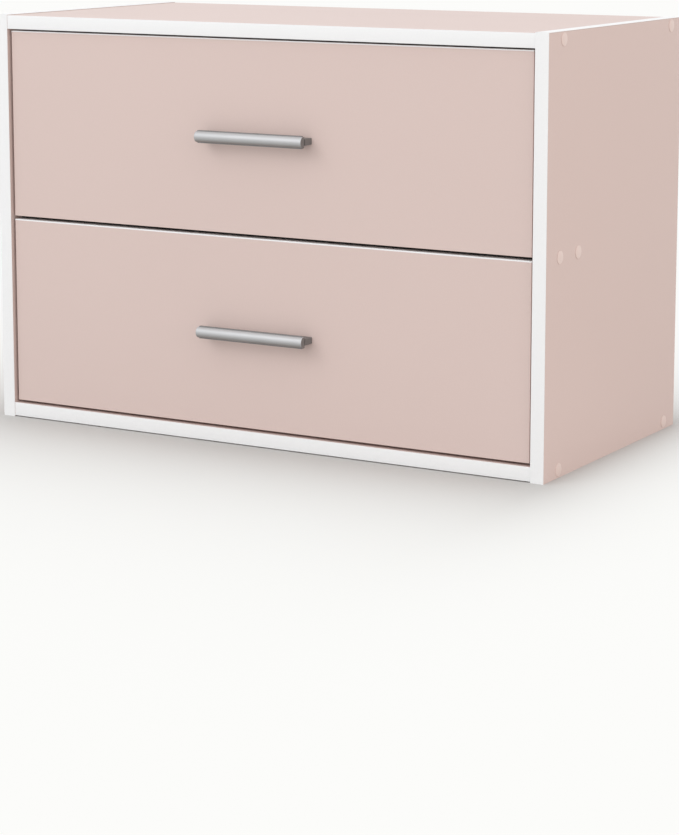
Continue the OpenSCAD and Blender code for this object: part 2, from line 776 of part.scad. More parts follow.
module bottom_screw() {
    core = bottom_screw_d * core_share;
    cylinder(d = bottom_screw_head_d, h = bottom_screw_head_t);
    rotate_extrude() polygon(concat(
        [[0, 0], [0, -bottom_screw_l], [core * 0.3, -bottom_screw_l]],
        thread(core, bottom_screw_d / 2, bottom_screw_d - bottom_screw_l, -bottom_t,
            bottom_screw_d * pitch_share),
        [[core, -bottom_t], [core, 0]]));
}

module box_screws(z0) {
    color(zinc) {
        for (side = [-1, 1]) box_corners(side, z0)
            wood_screw(box_screw_d, box_screw_l, box_screw_head_d, box_screw_head_h);
        bottom_screw_places(z0) bottom_screw();
    }
}

// A cam: a round housing with a way in for the bolt's head and a cross for a screwdriver
module cam(z0, z) {
    slot_w = 1.4;
    slot_depth = 1.2;
    cam_h = cam_depth - 2 * cam_play;
    bolt_height = cam_depth - cam_play - box_t / 2;
    way_d = bolt_head_d + 0.8;
    outward(1, box_x - cam_depth + cam_play, front_back_y + cam_setback, z0 + box_lift + z)
        difference() {
            cylinder(d = cam_d, h = cam_h);
            for (a = [45, 135]) rotate([0, 0, a])
                block([-cam_d / 4, -slot_w / 2, cam_h - slot_depth],
                    [cam_d / 4, slot_w / 2, cam_h + cut]);
            translate([0, 0, bolt_height]) rotate([90, 0, 0]) cylinder(d = way_d, h = cam_d);
            translate([0, 0, bolt_height]) sphere(d = way_d);
        }
}

// A bolt from the drawer front to the middle of its cam
module cam_bolt(z0, z) {
    core = bolt_d / 2 - 0.7;
    collar_h = 3;
    slope = 1;
    neck = cam_setback - 2.6;
    backward(box_x - box_t / 2, front_back_y, z0 + box_lift + z)
        rotate_extrude() polygon(concat(
            [[0, cam_setback], [0, -bolt_in_front], [core - 0.3, -bolt_in_front]],
            thread(core, bolt_d / 2, slope - bolt_in_front, 0, 1.6),
            [[core, 0], [bolt_collar_d / 2, 0], [bolt_collar_d / 2, collar_h],
                [core, collar_h + slope], [core, neck - slope],
                [bolt_head_d / 2, neck], [bolt_head_d / 2, cam_setback]]));
}

module cams_and_bolts(z0) {
    color(zinc) for (side = [-1, 1], z = cam_zs) handed(side) {
        cam(z0, z);
        cam_bolt(z0, z);
    }
}

module drawer_runner(side, z0) {
    foot_z = z0 + runner_lift;
    mid = steel_t / 2;
    web_s = runner_space - mid;
    line = [[runner_space + lip_under_box, runner_seat + mid], [web_s, runner_seat + mid],
        [web_s, flange_z + mid], [steel_t + flange_gap, flange_z + mid]];
    color(white) handed(side) difference() {
        translate([inner_x, 0, foot_z]) mirror([1, 0, 0])
            along_y(front_back_y + runner_setback, box_back_y)
                polygon(sheet_outline(line, steel_t, bend_r));
        drawer_runner_screw_places(z0) runner_screw_hole(drawer_screw_l);
        outward(1, box_x - cut, rear_roller_y, foot_z + roller_z)
            cylinder(d = pin_tail_d + hole_gap, h = steel_t + 2 * cut);
    }
}

module drawer_runner_screws(z0) {
    color(zinc) for (side = [-1, 1]) handed(side)
        drawer_runner_screw_places(z0) runner_screw(drawer_screw_l);
}

module drawer_roller_pins(z0) {
    shoulder = runner_space - steel_t - roller_s - roller_w - seat_gap;
    color(zinc) for (side = [-1, 1]) handed(side)
        outward(1, box_x + steel_t, rear_roller_y, z0 + runner_lift + roller_z)
            roller_pin(shoulder);
}

// ---------------------------------------------------------------- nodes

side_panel(-1);  // left_side_panel
side_panel(1);  // right_side_panel
level_panel(top_z);  // top_panel
level_panel(bottom_lift);  // bottom_panel
divider_rail();
back_panel();
side_edging(-1);  // left_side_edging
side_edging(1);  // right_side_edging
level_edging(top_z);  // top_edging
level_edging(bottom_lift);  // bottom_edging
divider_rail_edging();
cover_caps(-1);  // left_cover_caps
cover_caps(1);  // right_cover_caps
carcass_screws();
carcass_dowels();
back_nails();
cabinet_runner_screws();
cabinet_roller_pins();
cabinet_runner(-1, upper_z);  // upper_left_cabinet_runner
cabinet_runner(1, upper_z);  // upper_right_cabinet_runner
cabinet_runner(-1, lower_z);  // lower_left_cabinet_runner
cabinet_runner(1, lower_z);  // lower_right_cabinet_runner
roller(-1, front_roller_y, upper_z);  // upper_left_front_roller
roller(1, front_roller_y, upper_z);  // upper_right_front_roller
roller(-1, front_roller_y, lower_z);  // lower_left_front_roller
roller(1, front_roller_y, lower_z);  // lower_right_front_roller
roller(-1, rear_roller_y, upper_z);  // upper_left_rear_roller
roller(1, rear_roller_y, upper_z);  // upper_right_rear_roller
roller(-1, rear_roller_y, lower_z);  // lower_left_rear_roller
roller(1, rear_roller_y, lower_z);  // lower_right_rear_roller
drawer_front(upper_z);  // upper_front
drawer_front_edging(upper_z);  // upper_front_edging
handle_bar(upper_z);  // upper_handle_bar
handle_feet(upper_z);  // upper_handle_feet
handle_screws(upper_z);  // upper_handle_screws
box_side(-1, upper_z);  // upper_box_left_side
box_side(1, upper_z);  // upper_box_right_side
box_back(upper_z);  // upper_box_back
box_bottom(upper_z);  // upper_box_bottom
drawer_runner(-1, upper_z);  // upper_left_drawer_runner
drawer_runner(1, upper_z);  // upper_right_drawer_runner
drawer_runner_screws(upper_z);  // upper_drawer_runner_screws
drawer_roller_pins(upper_z);  // upper_drawer_roller_pins
cams_and_bolts(upper_z);  // upper_front_cams_and_bolts
box_screws(upper_z);  // upper_box_screws
drawer_front(lower_z);  // lower_front
drawer_front_edging(lower_z);  // lower_front_edging
handle_bar(lower_z);  // lower_handle_bar
handle_feet(lower_z);  // lower_handle_feet
handle_screws(lower_z);  // lower_handle_screws
box_side(-1, lower_z);  // lower_box_left_side
box_side(1, lower_z);  // lower_box_right_side
box_back(lower_z);  // lower_box_back
box_bottom(lower_z);  // lower_box_bottom
drawer_runner(-1, lower_z);  // lower_left_drawer_runner
drawer_runner(1, lower_z);  // lower_right_drawer_runner
drawer_runner_screws(lower_z);  // lower_drawer_runner_screws
drawer_roller_pins(lower_z);  // lower_drawer_roller_pins
cams_and_bolts(lower_z);  // lower_front_cams_and_bolts
box_screws(lower_z);  // lower_box_screws
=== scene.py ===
"""Finish of a two-drawer tabletop chest for discs.

The chest is made of chipboard faced with pastel rose melamine, with white edging strips, silver
bar handles on dark feet, rose cover caps, white drawer boxes and roller runners. Every piece is
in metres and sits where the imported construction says.
"""

import math

import bmesh
import bpy
from bpy.props import FloatProperty, FloatVectorProperty, PointerProperty
from mathutils import Matrix, Vector


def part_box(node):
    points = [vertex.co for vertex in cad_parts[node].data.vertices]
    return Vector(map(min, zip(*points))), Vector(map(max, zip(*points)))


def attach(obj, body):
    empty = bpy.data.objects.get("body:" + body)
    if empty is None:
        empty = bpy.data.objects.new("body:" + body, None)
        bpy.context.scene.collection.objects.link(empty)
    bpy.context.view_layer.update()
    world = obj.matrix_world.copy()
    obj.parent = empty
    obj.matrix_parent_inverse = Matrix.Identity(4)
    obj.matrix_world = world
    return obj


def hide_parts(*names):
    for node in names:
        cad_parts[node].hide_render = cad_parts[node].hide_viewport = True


bl_info = {
    "name": "Disc Chest Finish",
    "version": (1, 0, 0),
    "blender": (4, 5, 0),
    "location": "View3D > Sidebar > Disc Chest",
    "description": "Dresses a two-drawer chest: boards, edging, handles, caps, fittings and stage",
    "category": "Object",
}

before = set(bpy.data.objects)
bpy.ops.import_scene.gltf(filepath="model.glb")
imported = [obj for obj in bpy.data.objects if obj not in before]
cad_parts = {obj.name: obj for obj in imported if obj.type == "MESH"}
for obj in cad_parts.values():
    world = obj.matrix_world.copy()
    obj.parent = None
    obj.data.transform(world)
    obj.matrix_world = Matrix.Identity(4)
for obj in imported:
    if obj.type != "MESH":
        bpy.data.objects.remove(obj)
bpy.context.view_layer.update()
MM = 0.001
X, Y, Z = 0, 1, 2
LEVELS = ("upper", "lower")
SIDES = ("left", "right")
SMOOTH_ANGLE = math.radians(35)

PHOTO_HEIGHT = 835  # pixels
SENSOR = 36.0  # millimetres
CLIP_END = 100.0
FLOOR_HALF = 12.0
LAMP_SIZE = 1.6
LAMP_AIM = Vector((0, 0, 0.25))

NAIL_HEIGHT = 0.6 * MM
PAN_HEIGHT = 1.6 * MM


def extent(node, axis):
    """How far a construction node reaches along one axis."""
    low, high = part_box(node)
    return high[axis] - low[axis]


def paint(red, green, blue):
    """A colour as a paint chart gives it, 0 to 255, in the linear values that nodes take."""
    return tuple(
        c / 12.92 if c <= 0.04045 else ((c + 0.055) / 1.055) ** 2.4
        for c in (v / 255 for v in (red, green, blue))
    )


# ---- sizes and colours


def number(name, description, default, **limits):
    """A number that the sidebar shows."""
    return FloatProperty(name=name, description=description, default=default, **limits)


def length(name, description, default, high=1.0):
    """A length in metres."""
    return number(name, description, default, min=0.0, max=high, unit="LENGTH", precision=5)


def share(name, description, default, high=1.0):
    """A plain number, such as a roughness or a strength."""
    return number(name, description, default, min=0.0, max=high)


def colour(name, description, default):
    """A colour that the sidebar shows."""
    return FloatVectorProperty(
        name=name, description=description, default=default, size=3, min=0.0, max=1.0, subtype="COLOR"
    )


class BoardFinish(bpy.types.PropertyGroup):
    """Colours and grain of the boards."""

    rose: colour("Rose", "Melamine of the carcass and the drawer fronts", paint(216, 196, 190))
    white: colour("White", "Melamine of the drawer boxes", paint(236, 236, 232))
    chip_pale: colour("Pale chips", "Lighter chips on a cut edge", paint(205, 172, 128))
    chip_dark: colour("Dark chips", "Darker chips on a cut edge", paint(142, 104, 66))
    chip_size: length("Chips", "Size of the chips on a cut edge", 2.2 * MM, 0.02)
    chip_depth: length("Chip depth", "Height of the chips on a cut edge", 0.25 * MM, 0.001)
    fibre: colour("Fibre", "Bare face of the hardboard", paint(147, 108, 74))
    fibre_depth: length("Fibre depth", "Height of the pattern on the bare face", 0.12 * MM, 0.001)
    lacquer: colour("Lacquer", "Lacquered face of the hardboard", paint(228, 222, 210))
    grain_size: length("Grain", "Size of the pearl grain in the melamine", 1.4 * MM, 0.02)
    grain_depth: length("Grain depth", "Height of the pearl grain", 0.02 * MM, 0.001)
    drift: share("Drift", "How much the rose varies across a board", 0.03)
    roughness: share("Roughness", "Roughness of the melamine", 0.46)
    gloss: share("Gloss", "Specular level of the melamine", 0.3)
    # Painted shade: a dark line along the joints where the melamine meets the edging
    joint_shade_line: length("Joint shade line", "Width of the dark line where melamine meets edging", 0.6 * MM, 0.005)
    joint_shade_depth: share("Joint shade darkness", "How much of the rose the glue line keeps", 0.8)


class EdgingSizes(bpy.types.PropertyGroup):
    """Sizes and colours of the edging strips."""

    width: length("Width", "Width of a strip", extent("top_edging", Z), 0.05)
    thickness: length("Thickness", "Thickness of a strip", extent("top_edging", Y), 0.005)
    rounding: length("Rounding", "Radius along the outer edges of a strip", 0.45 * MM, 0.002)
    white: colour("White", "Colour of the strips", paint(240, 241, 242))
    # Painted shade: a near-black strip on the cross rail, standing in for the shade deep in the gap between
    # the drawers
    rail_shade: colour("Rail shade", "Colour of the strip on the cross rail", paint(30, 25, 23))


class HandleSizes(bpy.types.PropertyGroup):
    """Sizes and colours of the handles."""

    sleeve: length("Sleeve", "Diameter of the silver sleeve in front of the dark core", 12.8 * MM, 0.03)
    sleeve_depth: length("Sleeve depth", "Depth of the sleeve, which is cut flat at the back", 7.7 * MM, 0.02)
    core_depth: length("Core depth", "Depth of the flat dark core", 4.5 * MM, 0.02)
    end_step: length("End step", "How far the core's ends lie inside those of the sleeve", 2 * MM, 0.005)
    rounding: length("Rounding", "Rounding of the sleeve's ends and the core's edges", 0.5 * MM, 0.003)
    foot_rounding: length("Foot rounding", "Rounding of the upright edges of a foot", 0.8 * MM, 0.003)
    silver: colour("Silver", "Satin metal of the sleeve", paint(195, 196, 198))
    # Painted shade: a darker silver that stands in for the shade on the lower side of the sleeve
    underside: colour("Underside", "Silver with painted shade on the underside of the sleeve", paint(138, 136, 134))
    grey: colour("Grey", "Dark metal of the core and the feet", paint(131, 131, 131))


class CapSizes(bpy.types.PropertyGroup):
    """Sizes and colour of the cover caps."""

    diameter: length("Diameter", "Diameter of a cap", 14.5 * MM, 0.03)
    height: length("Height", "Height of a cap at its middle", 1.1 * MM, 0.005)
    rim: length("Rim", "Height of a cap at its rim", 0.5 * MM, 0.005)
    stem: length("Stem", "Diameter of the stem in the screw's socket", 3.6 * MM, 0.01)
    rose: colour("Rose", "Plastic of the caps", paint(226, 206, 199))


class FittingSizes(bpy.types.PropertyGroup):
    """Sizes and colours of screws, nails, runners and rollers."""

    screw_head: length("Screw head", "Diameter of a runner screw's head", 6.4 * MM, 0.02)
    screw_shank: length("Screw shank", "Diameter of a runner screw's shank", 2.6 * MM, 0.02)
    corner_head: length("Corner head", "Diameter of the head of a screw at a box corner", 8 * MM, 0.02)
    corner_shank: length("Corner shank", "Diameter of that screw's shank", 3.2 * MM, 0.02)
    pan_head: length("Pan head", "Diameter of the head of a screw under a box", 6 * MM, 0.02)
    nail_head: length("Nail head", "Diameter of a nail's head", 4 * MM, 0.02)
    nail_rim: length("Nail rim", "Height of a nail's head at its rim", 0.25 * MM, 0.002)
    nail_shank: length("Nail shank", "Diameter of a nail", 1.5 * MM, 0.01)
    zinc: colour("Zinc", "Plated screws, nails and cams", paint(201, 203, 206))
    powder: colour("Powder coat", "Coated steel of the runners", paint(236, 236, 231))
    nylon: colour("Nylon", "Plastic of the rollers", paint(226, 223, 212))
    beech: colour("Beech", "Wood of the dowels", paint(205, 172, 126))


class StageSettings(bpy.types.PropertyGroup):
    """Floor, light and camera."""

    floor: colour("Floor", "Colour of the floor near the chest", paint(194, 193, 191))
    floor_white: colour("Far floor", "What shows of the floor far from the chest", paint(252, 252, 250))
    # Painted shadow: the floor's white glow fades in over this distance, giving the falloff of the shadow
    painted_shadow_reach: length("Floor reach", "Distance over which the floor turns white", 0.165, 10.0)
    # Painted light: the glow comes sooner to the right of the chest, as if light fell there
    floor_right: share("Right of the chest", "How much sooner the floor turns white there", 2.6, 10.0)
    sky: share("Sky", "Light that comes from all round", 1.0, 5.0)
    front_lamp: number("Front lamp", "Soft lamp in front, high on the left", 18.0, min=0.0, unit="POWER")
    low_lamp: number("Low lamp", "Soft lamp in front, low down", 6.0, min=0.0, unit="POWER")
    side_lamp: number("Side lamp", "Soft warm lamp on the right", 8.5, min=0.0, unit="POWER")
    side_tint: colour("Side lamp tint", "Colour of the warm lamp", (1.0, 0.72, 0.56))
    camera_place: FloatVectorProperty(
        name="Camera", description="Camera, from the middle of the carcass front on the floor",
        default=(1.515, -2.424, 0.643), subtype="TRANSLATION", unit="LENGTH",
    )
    yaw: number("Yaw", "Turn of the camera to the left", math.radians(30.13), subtype="ANGLE")
    pitch: number("Pitch", "How far the camera looks down", math.radians(9.22), subtype="ANGLE")
    focal_pixels: number("Focal length", "Focal length in pixels of the photograph", 2566.7, min=100.0)
    shift: number("Shift", "Upright shift of the lens", -0.15)


class ChestSettings(bpy.types.PropertyGroup):
    """All sizes and colours of the chest's finish."""

    boards: PointerProperty(type=BoardFinish, name="Boards", description="Boards")
    edging: PointerProperty(type=EdgingSizes, name="Edging", description="Edging strips")
    handles: PointerProperty(type=HandleSizes, name="Handles", description="Handles")
    caps: PointerProperty(type=CapSizes, name="Caps", description="Cover caps")
    fittings: PointerProperty(type=FittingSizes, name="Fittings", description="Screws and runners")
    stage: PointerProperty(type=StageSettings, name="Stage", description="Floor, light and camera")


# ---- node helpers

NOISE_SPAN = (0.3, 0.7)  # most of a noise lies between these
COLOUR, NUMBER, VECTOR = "NodeSocketColor", "NodeSocketFloat", "NodeSocketVector"
SHAPE, MATERIAL = "NodeSocketGeometry", "NodeSocketMaterial"
SKIN = {"Colour": COLOUR, "Roughness": NUMBER, "Height": NUMBER}  # in the order of link_skin


def spaced(name):
    """Name of a socket or material, from a word such as Grain_Size."""
    return name.replace("_", " ")


def add_node(tree, kind, inputs=None, **settings):
    """Adds a node. Each input takes a plain value or a socket to link from."""
    node = tree.nodes.new(kind)
    node.location = (200 * len(tree.nodes), 0)
    for name, value in settings.items():
        setattr(node, name, value)
    for key, value in (inputs or {}).items():
        socket = node.inputs[key]
        if isinstance(value, bpy.types.NodeSocket):
            tree.links.new(value, socket)
        elif socket.type == "RGBA":
            socket.default_value = (*value[:3], 1.0)
        else:
            socket.default_value = value
    return node


def result(tree, kind, inputs=None, **settings):
    """Adds a node and returns its first output."""
    return add_node(tree, kind, inputs, **settings).outputs[0]


def mix_colours(tree, factor, first, second):
    """Colour that goes from first to second."""
    return add_node(tree, "ShaderNodeMix", {0: factor, 6: first, 7: second}, data_type="RGBA").outputs[2]


def mix_numbers(tree, factor, first, second):
    """Number that goes from first to second."""
    return result(tree, "ShaderNodeMix", {0: factor, 2: first, 3: second})


def maths(tree, operation, first, second=0.0):
    """Result of one operation on two numbers."""
    return result(tree, "ShaderNodeMath", {0: first, 1: second}, operation=operation)


def pair_maths(operation):
    """A function that adds one operation on two numbers to a tree."""
    return lambda tree, first, second: maths(tree, operation, first, second)


plus, minus, times, over = map(pair_maths, ("ADD", "SUBTRACT", "MULTIPLY", "DIVIDE"))


def vector(tree, x=0.0, y=0.0, z=0.0):
    """A vector made of three numbers."""
    return result(tree, "ShaderNodeCombineXYZ", {0: x, 1: y, 2: z})


def parts(tree, place):
    """The three numbers of a vector."""
    return add_node(tree, "ShaderNodeSeparateXYZ", {0: place}).outputs


def vector_maths(tree, operation, first, second=(0, 0, 0)):
    """Result of one operation on two vectors."""
    node = add_node(tree, "ShaderNodeVectorMath", {0: first, 1: second}, operation=operation)
    return node.outputs["Value" if operation in ("DOT_PRODUCT", "LENGTH") else "Vector"]


def rescale(tree, value, low, high, to_low, to_high):
    """Moves a number from one span to another and keeps it inside."""
    inputs = {"Value": value, "From Min": low, "From Max": high, "To Min": to_low, "To Max": to_high}
    return result(tree, "ShaderNodeMapRange", inputs)


def swing(tree, value, low, high):
    """Moves a noise to a span of its own."""
    return rescale(tree, value, *NOISE_SPAN, low, high)


def noise(tree, place, scale, detail=2.0):
    """Soft noise around 0.5. The scale is in waves per metre."""
    return result(tree, "ShaderNodeTexNoise", {"Vector": place, "Scale": scale, "Detail": detail})


def object_place(tree):
    """Place on the piece, in metres."""
    return add_node(tree, "ShaderNodeTexCoord").outputs["Object"]


def object_normal(tree):
    """Direction that the surface faces, in the piece's own axes."""
    return add_node(tree, "ShaderNodeTexCoord").outputs["Normal"]


def tinted(tree, base, brightness):
    """A colour made lighter or darker by a factor around 1."""
    return result(tree, "ShaderNodeHueSaturation", {"Color": base, "Value": brightness})


# ---- node groups


def new_group(name, kind, ins, outs, build):
    """A node group with named inputs and outputs, built only once."""
    tree = bpy.data.node_groups.get(name)
    if tree is None:
        tree = bpy.data.node_groups.new(name, kind)
        for way, rows in (("INPUT", ins), ("OUTPUT", outs)):
            for key, socket in rows.items():
                tree.interface.new_socket(spaced(key), in_out=way, socket_type=socket)
        given = add_node(tree, "NodeGroupInput").outputs
        add_node(tree, "NodeGroupOutput", build(tree, given))
    return tree


def shader_group(name, outs, **ins):
    """Makes the function below it place its shader group in a material and return the outputs."""

    def wrap(build):
        def place(tree, **values):
            group = new_group(name, "ShaderNodeTree", ins, outs, build)
            inputs = {spaced(key): value for key, value in values.items()}
            return add_node(tree, "ShaderNodeGroup", inputs, node_tree=group).outputs

        return place

    return wrap


def geometry_tree(name, **ins):
    """Makes the function below it return a tree that ends in Realize Instances and Set Material."""

    def wrap(build):
        def whole(tree, given):
            real = result(tree, "GeometryNodeRealizeInstances", {"Geometry": build(tree, given)})
            inputs = {"Geometry": real, "Material": given["Material"]}
            return {"Geometry": result(tree, "GeometryNodeSetMaterial", inputs)}

        rows = {"Geometry": SHAPE, **ins, "Material": MATERIAL}
        return lambda: new_group(name, "GeometryNodeTree", rows, {"Geometry": SHAPE}, whole)

    return wrap


@shader_group("Pearl Grain", SKIN, Colour=COLOUR, Grain_Size=NUMBER, Drift=NUMBER, Roughness=NUMBER)
def pearl_grain(tree, given):
    """Fine grain with a slow drift of the colour, as on pressed melamine or powder coat."""
    place = object_place(tree)
    grain = noise(tree, place, over(tree, 1.0, given["Grain Size"]), detail=3.0)
    drift = noise(tree, place, scale=4.0, detail=1.0)
    span = times(tree, minus(tree, drift, 0.5), given["Drift"])
    brightness = plus(tree, swing(tree, grain, 0.988, 1.012), span)
    return {
        "Colour": tinted(tree, given["Colour"], brightness),
        "Roughness": plus(tree, given["Roughness"], swing(tree, grain, -0.04, 0.04)),
        "Height": grain,
    }


@shader_group(
    "Chipboard", {"Colour": COLOUR, "Height": NUMBER}, Pale_Chips=COLOUR, Dark_Chips=COLOUR, Chip_Size=NUMBER
)
def chipboard(tree, given):
    """Pressed chips of two browns, with dark glue lines between them."""
    place = object_place(tree)
    flat = result(tree, "ShaderNodeMapping", {"Vector": place, "Scale": (0.55, 0.55, 1.0)})
    scale = over(tree, 1.0, given["Chip Size"])
    inputs = {"Vector": flat, "Scale": scale}
    chips = add_node(tree, "ShaderNodeTexVoronoi", inputs).outputs["Color"]
    to_rim = result(tree, "ShaderNodeTexVoronoi", inputs, feature="DISTANCE_TO_EDGE")
    tone = result(tree, "ShaderNodeSeparateColor", {"Color": chips})
    dust = noise(tree, place, times(tree, scale, 6.0))
    chip = mix_colours(tree, tone, given["Dark Chips"], given["Pale Chips"])
    rim = rescale(tree, to_rim, 0.0, 0.12, 0.62, 1.0)
    brightness = times(tree, rim, swing(tree, dust, 0.85, 1.1))
    height = times(tree, rim, rescale(tree, tone, 0.0, 1.0, 0.6, 1.0))
    return {"Colour": tinted(tree, chip, brightness), "Height": height}


@shader_group("Faces Across", {"Mask": NUMBER}, Direction=VECTOR, Both_Sides=NUMBER)
def faces_across(tree, given):
    """1 on the faces that lie across a direction and 0 on the others."""
    facing = vector_maths(tree, "DOT_PRODUCT", object_normal(tree), given["Direction"])
    either = mix_numbers(tree, given["Both Sides"], facing, maths(tree, "ABSOLUTE", facing))
    return {"Mask": maths(tree, "GREATER_THAN", either, 0.5)}


@shader_group("Joint Shade Line", {"Mask": NUMBER}, Low=VECTOR, High=VECTOR, Width=NUMBER)
def joint_shade_line(tree, given):
    """1 on a thin line along the borders of a board, where joint shade is painted, and 0 elsewhere."""
    place = object_place(tree)
    inner = vector_maths(tree, "SUBTRACT", place, given["Low"])
    outer = vector_maths(tree, "SUBTRACT", given["High"], place)
    x, y, z = parts(tree, vector_maths(tree, "MINIMUM", inner, outer))
    border = maths(tree, "MINIMUM", x, maths(tree, "MINIMUM", y, z))
    return {"Mask": maths(tree, "LESS_THAN", border, given["Width"])}


@shader_group("Brushed Lines", SKIN, Colour=COLOUR, Lines=VECTOR, Contrast=NUMBER, Roughness=NUMBER)
def brushed_lines(tree, given):
    """Fine lines from brushing or drawing, as a change of colour, roughness and height."""
    place = object_place(tree)
    lines = noise(tree, vector_maths(tree, "MULTIPLY", place, given["Lines"]), scale=1.0, detail=3.0)
    cloud = swing(tree, noise(tree, place, scale=60.0), -0.01, 0.01)
    spread = times(tree, minus(tree, lines, 0.5), given["Contrast"])
    brightness = plus(tree, plus(tree, spread, 1.0), cloud)
    return {
        "Colour": tinted(tree, given["Colour"], brightness),
        "Roughness": plus(tree, given["Roughness"], times(tree, spread, 0.4)),
        "Height": lines,
    }


# ---- materials

NO_LINE = 10.0  # metres, so far out that no glue line shows
CUT_ROUGHNESS = 0.9
FIBRE_ROUGHNESS = 0.85
SHADED_TO_LIT = (-0.95, 0.2)  # upward part of the normal, from the painted shade under the sleeve to full silver


def new_material(name, **shader_values):
    """A material with a shader whose plain values are set on its own sockets."""
    material = bpy.data.materials.new(name)
    material.use_nodes = True
    tree = material.node_tree
    shader = tree.nodes["Principled BSDF"]
    for key, value in shader_values.items():
        shader.inputs[spaced(key)].default_value = value
    return material, tree, shader


def link_skin(tree, shader, base, roughness, height, depth=1.0):
    """Links colour, roughness and relief to a shader. Height times depth is in metres."""
    relief = result(tree, "ShaderNodeBump", {"Height": height, "Distance": depth, "Strength": 1.0})
    for name, value in (("Base Color", base), ("Roughness", roughness), ("Normal", relief)):
        tree.links.new(value, shader.inputs[name])


def grained_material(name, base, grain, depth, drift, roughness, **shader_values):
    """Melamine, plastic or paint with a fine grain."""
    material, tree, shader = new_material(name, **shader_values)
    skin = pearl_grain(tree, Colour=base, Grain_Size=grain, Drift=drift, Roughness=roughness)
    link_skin(tree, shader, *skin, depth)
    return material


def board_material(node, look, across, lined=()):
    """Melamine on the faces across one direction, bare chipboard on the cut edges.

    A thin dark line of painted shade, for the shadow in the joint with the edging, runs along the lined
    sides, such as -Y.
    """
    material, tree, shader = new_material(spaced(node), Specular_IOR_Level=look.gloss)
    low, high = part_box(node)
    line_low = [low[axis] if "-" + "XYZ"[axis] in lined else -NO_LINE for axis in (X, Y, Z)]
    line_high = [high[axis] if "+" + "XYZ"[axis] in lined else NO_LINE for axis in (X, Y, Z)]
    line = joint_shade_line(tree, Low=line_low, High=line_high, Width=look.joint_shade_line)["Mask"]
    grain = {"Grain_Size": look.grain_size, "Drift": look.drift, "Roughness": look.roughness}
    skin = pearl_grain(tree, Colour=look.rose, **grain)
    # Painted shade: the rose darkens along the joints with the edging
    rose = tinted(tree, skin["Colour"], mix_numbers(tree, line, 1.0, look.joint_shade_depth))
    browns = {"Pale_Chips": look.chip_pale, "Dark_Chips": look.chip_dark}
    core = chipboard(tree, Chip_Size=look.chip_size, **browns)
    face = faces_across(tree, Direction=across, Both_Sides=1.0)["Mask"]
    base = mix_colours(tree, face, core["Colour"], rose)
    roughness = mix_numbers(tree, face, CUT_ROUGHNESS, skin["Roughness"])
    chips = times(tree, core["Height"], look.chip_depth)
    relief = mix_numbers(tree, face, chips, times(tree, skin["Height"], look.grain_depth))
    link_skin(tree, shader, base, roughness, relief)
    return material


def hardboard_material(name, look, bare_side):
    """Hardboard with one bare fibre face and lacquer on the other."""
    material, tree, shader = new_material(name)
    place = object_place(tree)
    fibres = noise(tree, place, scale=900.0, detail=4.0)
    clumps = noise(tree, place, scale=45.0, detail=3.0)
    screen = result(tree, "ShaderNodeTexVoronoi", {"Vector": place, "Scale": 700.0})
    tone = times(tree, rescale(tree, fibres, 0.25, 0.75, 0.78, 1.2), swing(tree, clumps, 0.9, 1.1))
    lacquer = pearl_grain(tree, Colour=look.lacquer, Grain_Size=2.0 * MM, Drift=0.02, Roughness=0.4)
    bare = faces_across(tree, Direction=bare_side, Both_Sides=0.0)["Mask"]
    base = mix_colours(tree, bare, lacquer["Colour"], tinted(tree, look.fibre, tone))
    roughness = mix_numbers(tree, bare, lacquer["Roughness"], FIBRE_ROUGHNESS)
    pattern = times(tree, plus(tree, screen, fibres), look.fibre_depth)
    relief = mix_numbers(tree, bare, times(tree, lacquer["Height"], look.grain_depth), pattern)
    link_skin(tree, shader, base, roughness, relief)
    return material


def brushed_material(name, base, lines, contrast, roughness, depth, **shader_values):
    """Metal or wood with fine lines, as many to a metre as lines says for each axis."""
    material, tree, shader = new_material(name, **shader_values)
    skin = brushed_lines(tree, Colour=base, Lines=lines, Contrast=contrast, Roughness=roughness)
    link_skin(tree, shader, *skin, depth)
    return material


def sleeve_material(sizes):
    """Satin metal drawn along X, with painted shade: a darker silver towards the underside, and the core's
    dark grey on the end faces.
    """
    material, tree, shader = new_material("Satin silver sleeve", Metallic=0.55)
    # Painted shade: the silver turns darker as the surface faces down
    upwards = parts(tree, object_normal(tree))[Z]
    bright = rescale(tree, upwards, *SHADED_TO_LIT, 0.0, 1.0)
    metal = mix_colours(tree, bright, sizes.underside, sizes.silver)
    drawn = {"Lines": (9.0, 2600.0, 2600.0), "Contrast": 0.1, "Roughness": 0.5}
    skin = brushed_lines(tree, Colour=metal, **drawn)
    # Painted shade: the end faces take the core's dark grey, for the shade that falls on them
    cut = faces_across(tree, Direction=(1, 0, 0), Both_Sides=1.0)["Mask"]
    base = mix_colours(tree, cut, skin["Colour"], sizes.grey)
    link_skin(tree, shader, base, skin["Roughness"], skin["Height"], 0.004 * MM)
    return material


def plated_material(name, base, roughness):
    """Zinc plate: bright, a little cloudy, with a grainy surface."""
    material, tree, shader = new_material(name, Metallic=1.0)
    place = object_place(tree)
    cloud = noise(tree, place, scale=260.0, detail=3.0)
    zinc = tinted(tree, base, swing(tree, cloud, 0.86, 1.06))
    dull = swing(tree, cloud, roughness + 0.08, roughness - 0.06)
    link_skin(tree, shader, zinc, dull, noise(tree, place, scale=2600.0), 0.015 * MM)
    return material


def dress(material, *nodes):
    """Gives construction nodes a material."""
    for name in nodes:
        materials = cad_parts[name].data.materials
        materials.clear()
        materials.append(material)


# ---- mesh helpers


def new_object(name, data):
    """An object in the scene, at the origin."""
    thing = bpy.data.objects.new(name, data)
    bpy.context.scene.collection.objects.link(thing)
    return thing


def smoothed(mesh):
    """Shades a mesh smooth, apart from its sharp edges."""
    mesh.polygons.foreach_set("use_smooth", [True] * len(mesh.polygons))
    mesh.set_sharp_from_angle(angle=SMOOTH_ANGLE)
    return mesh


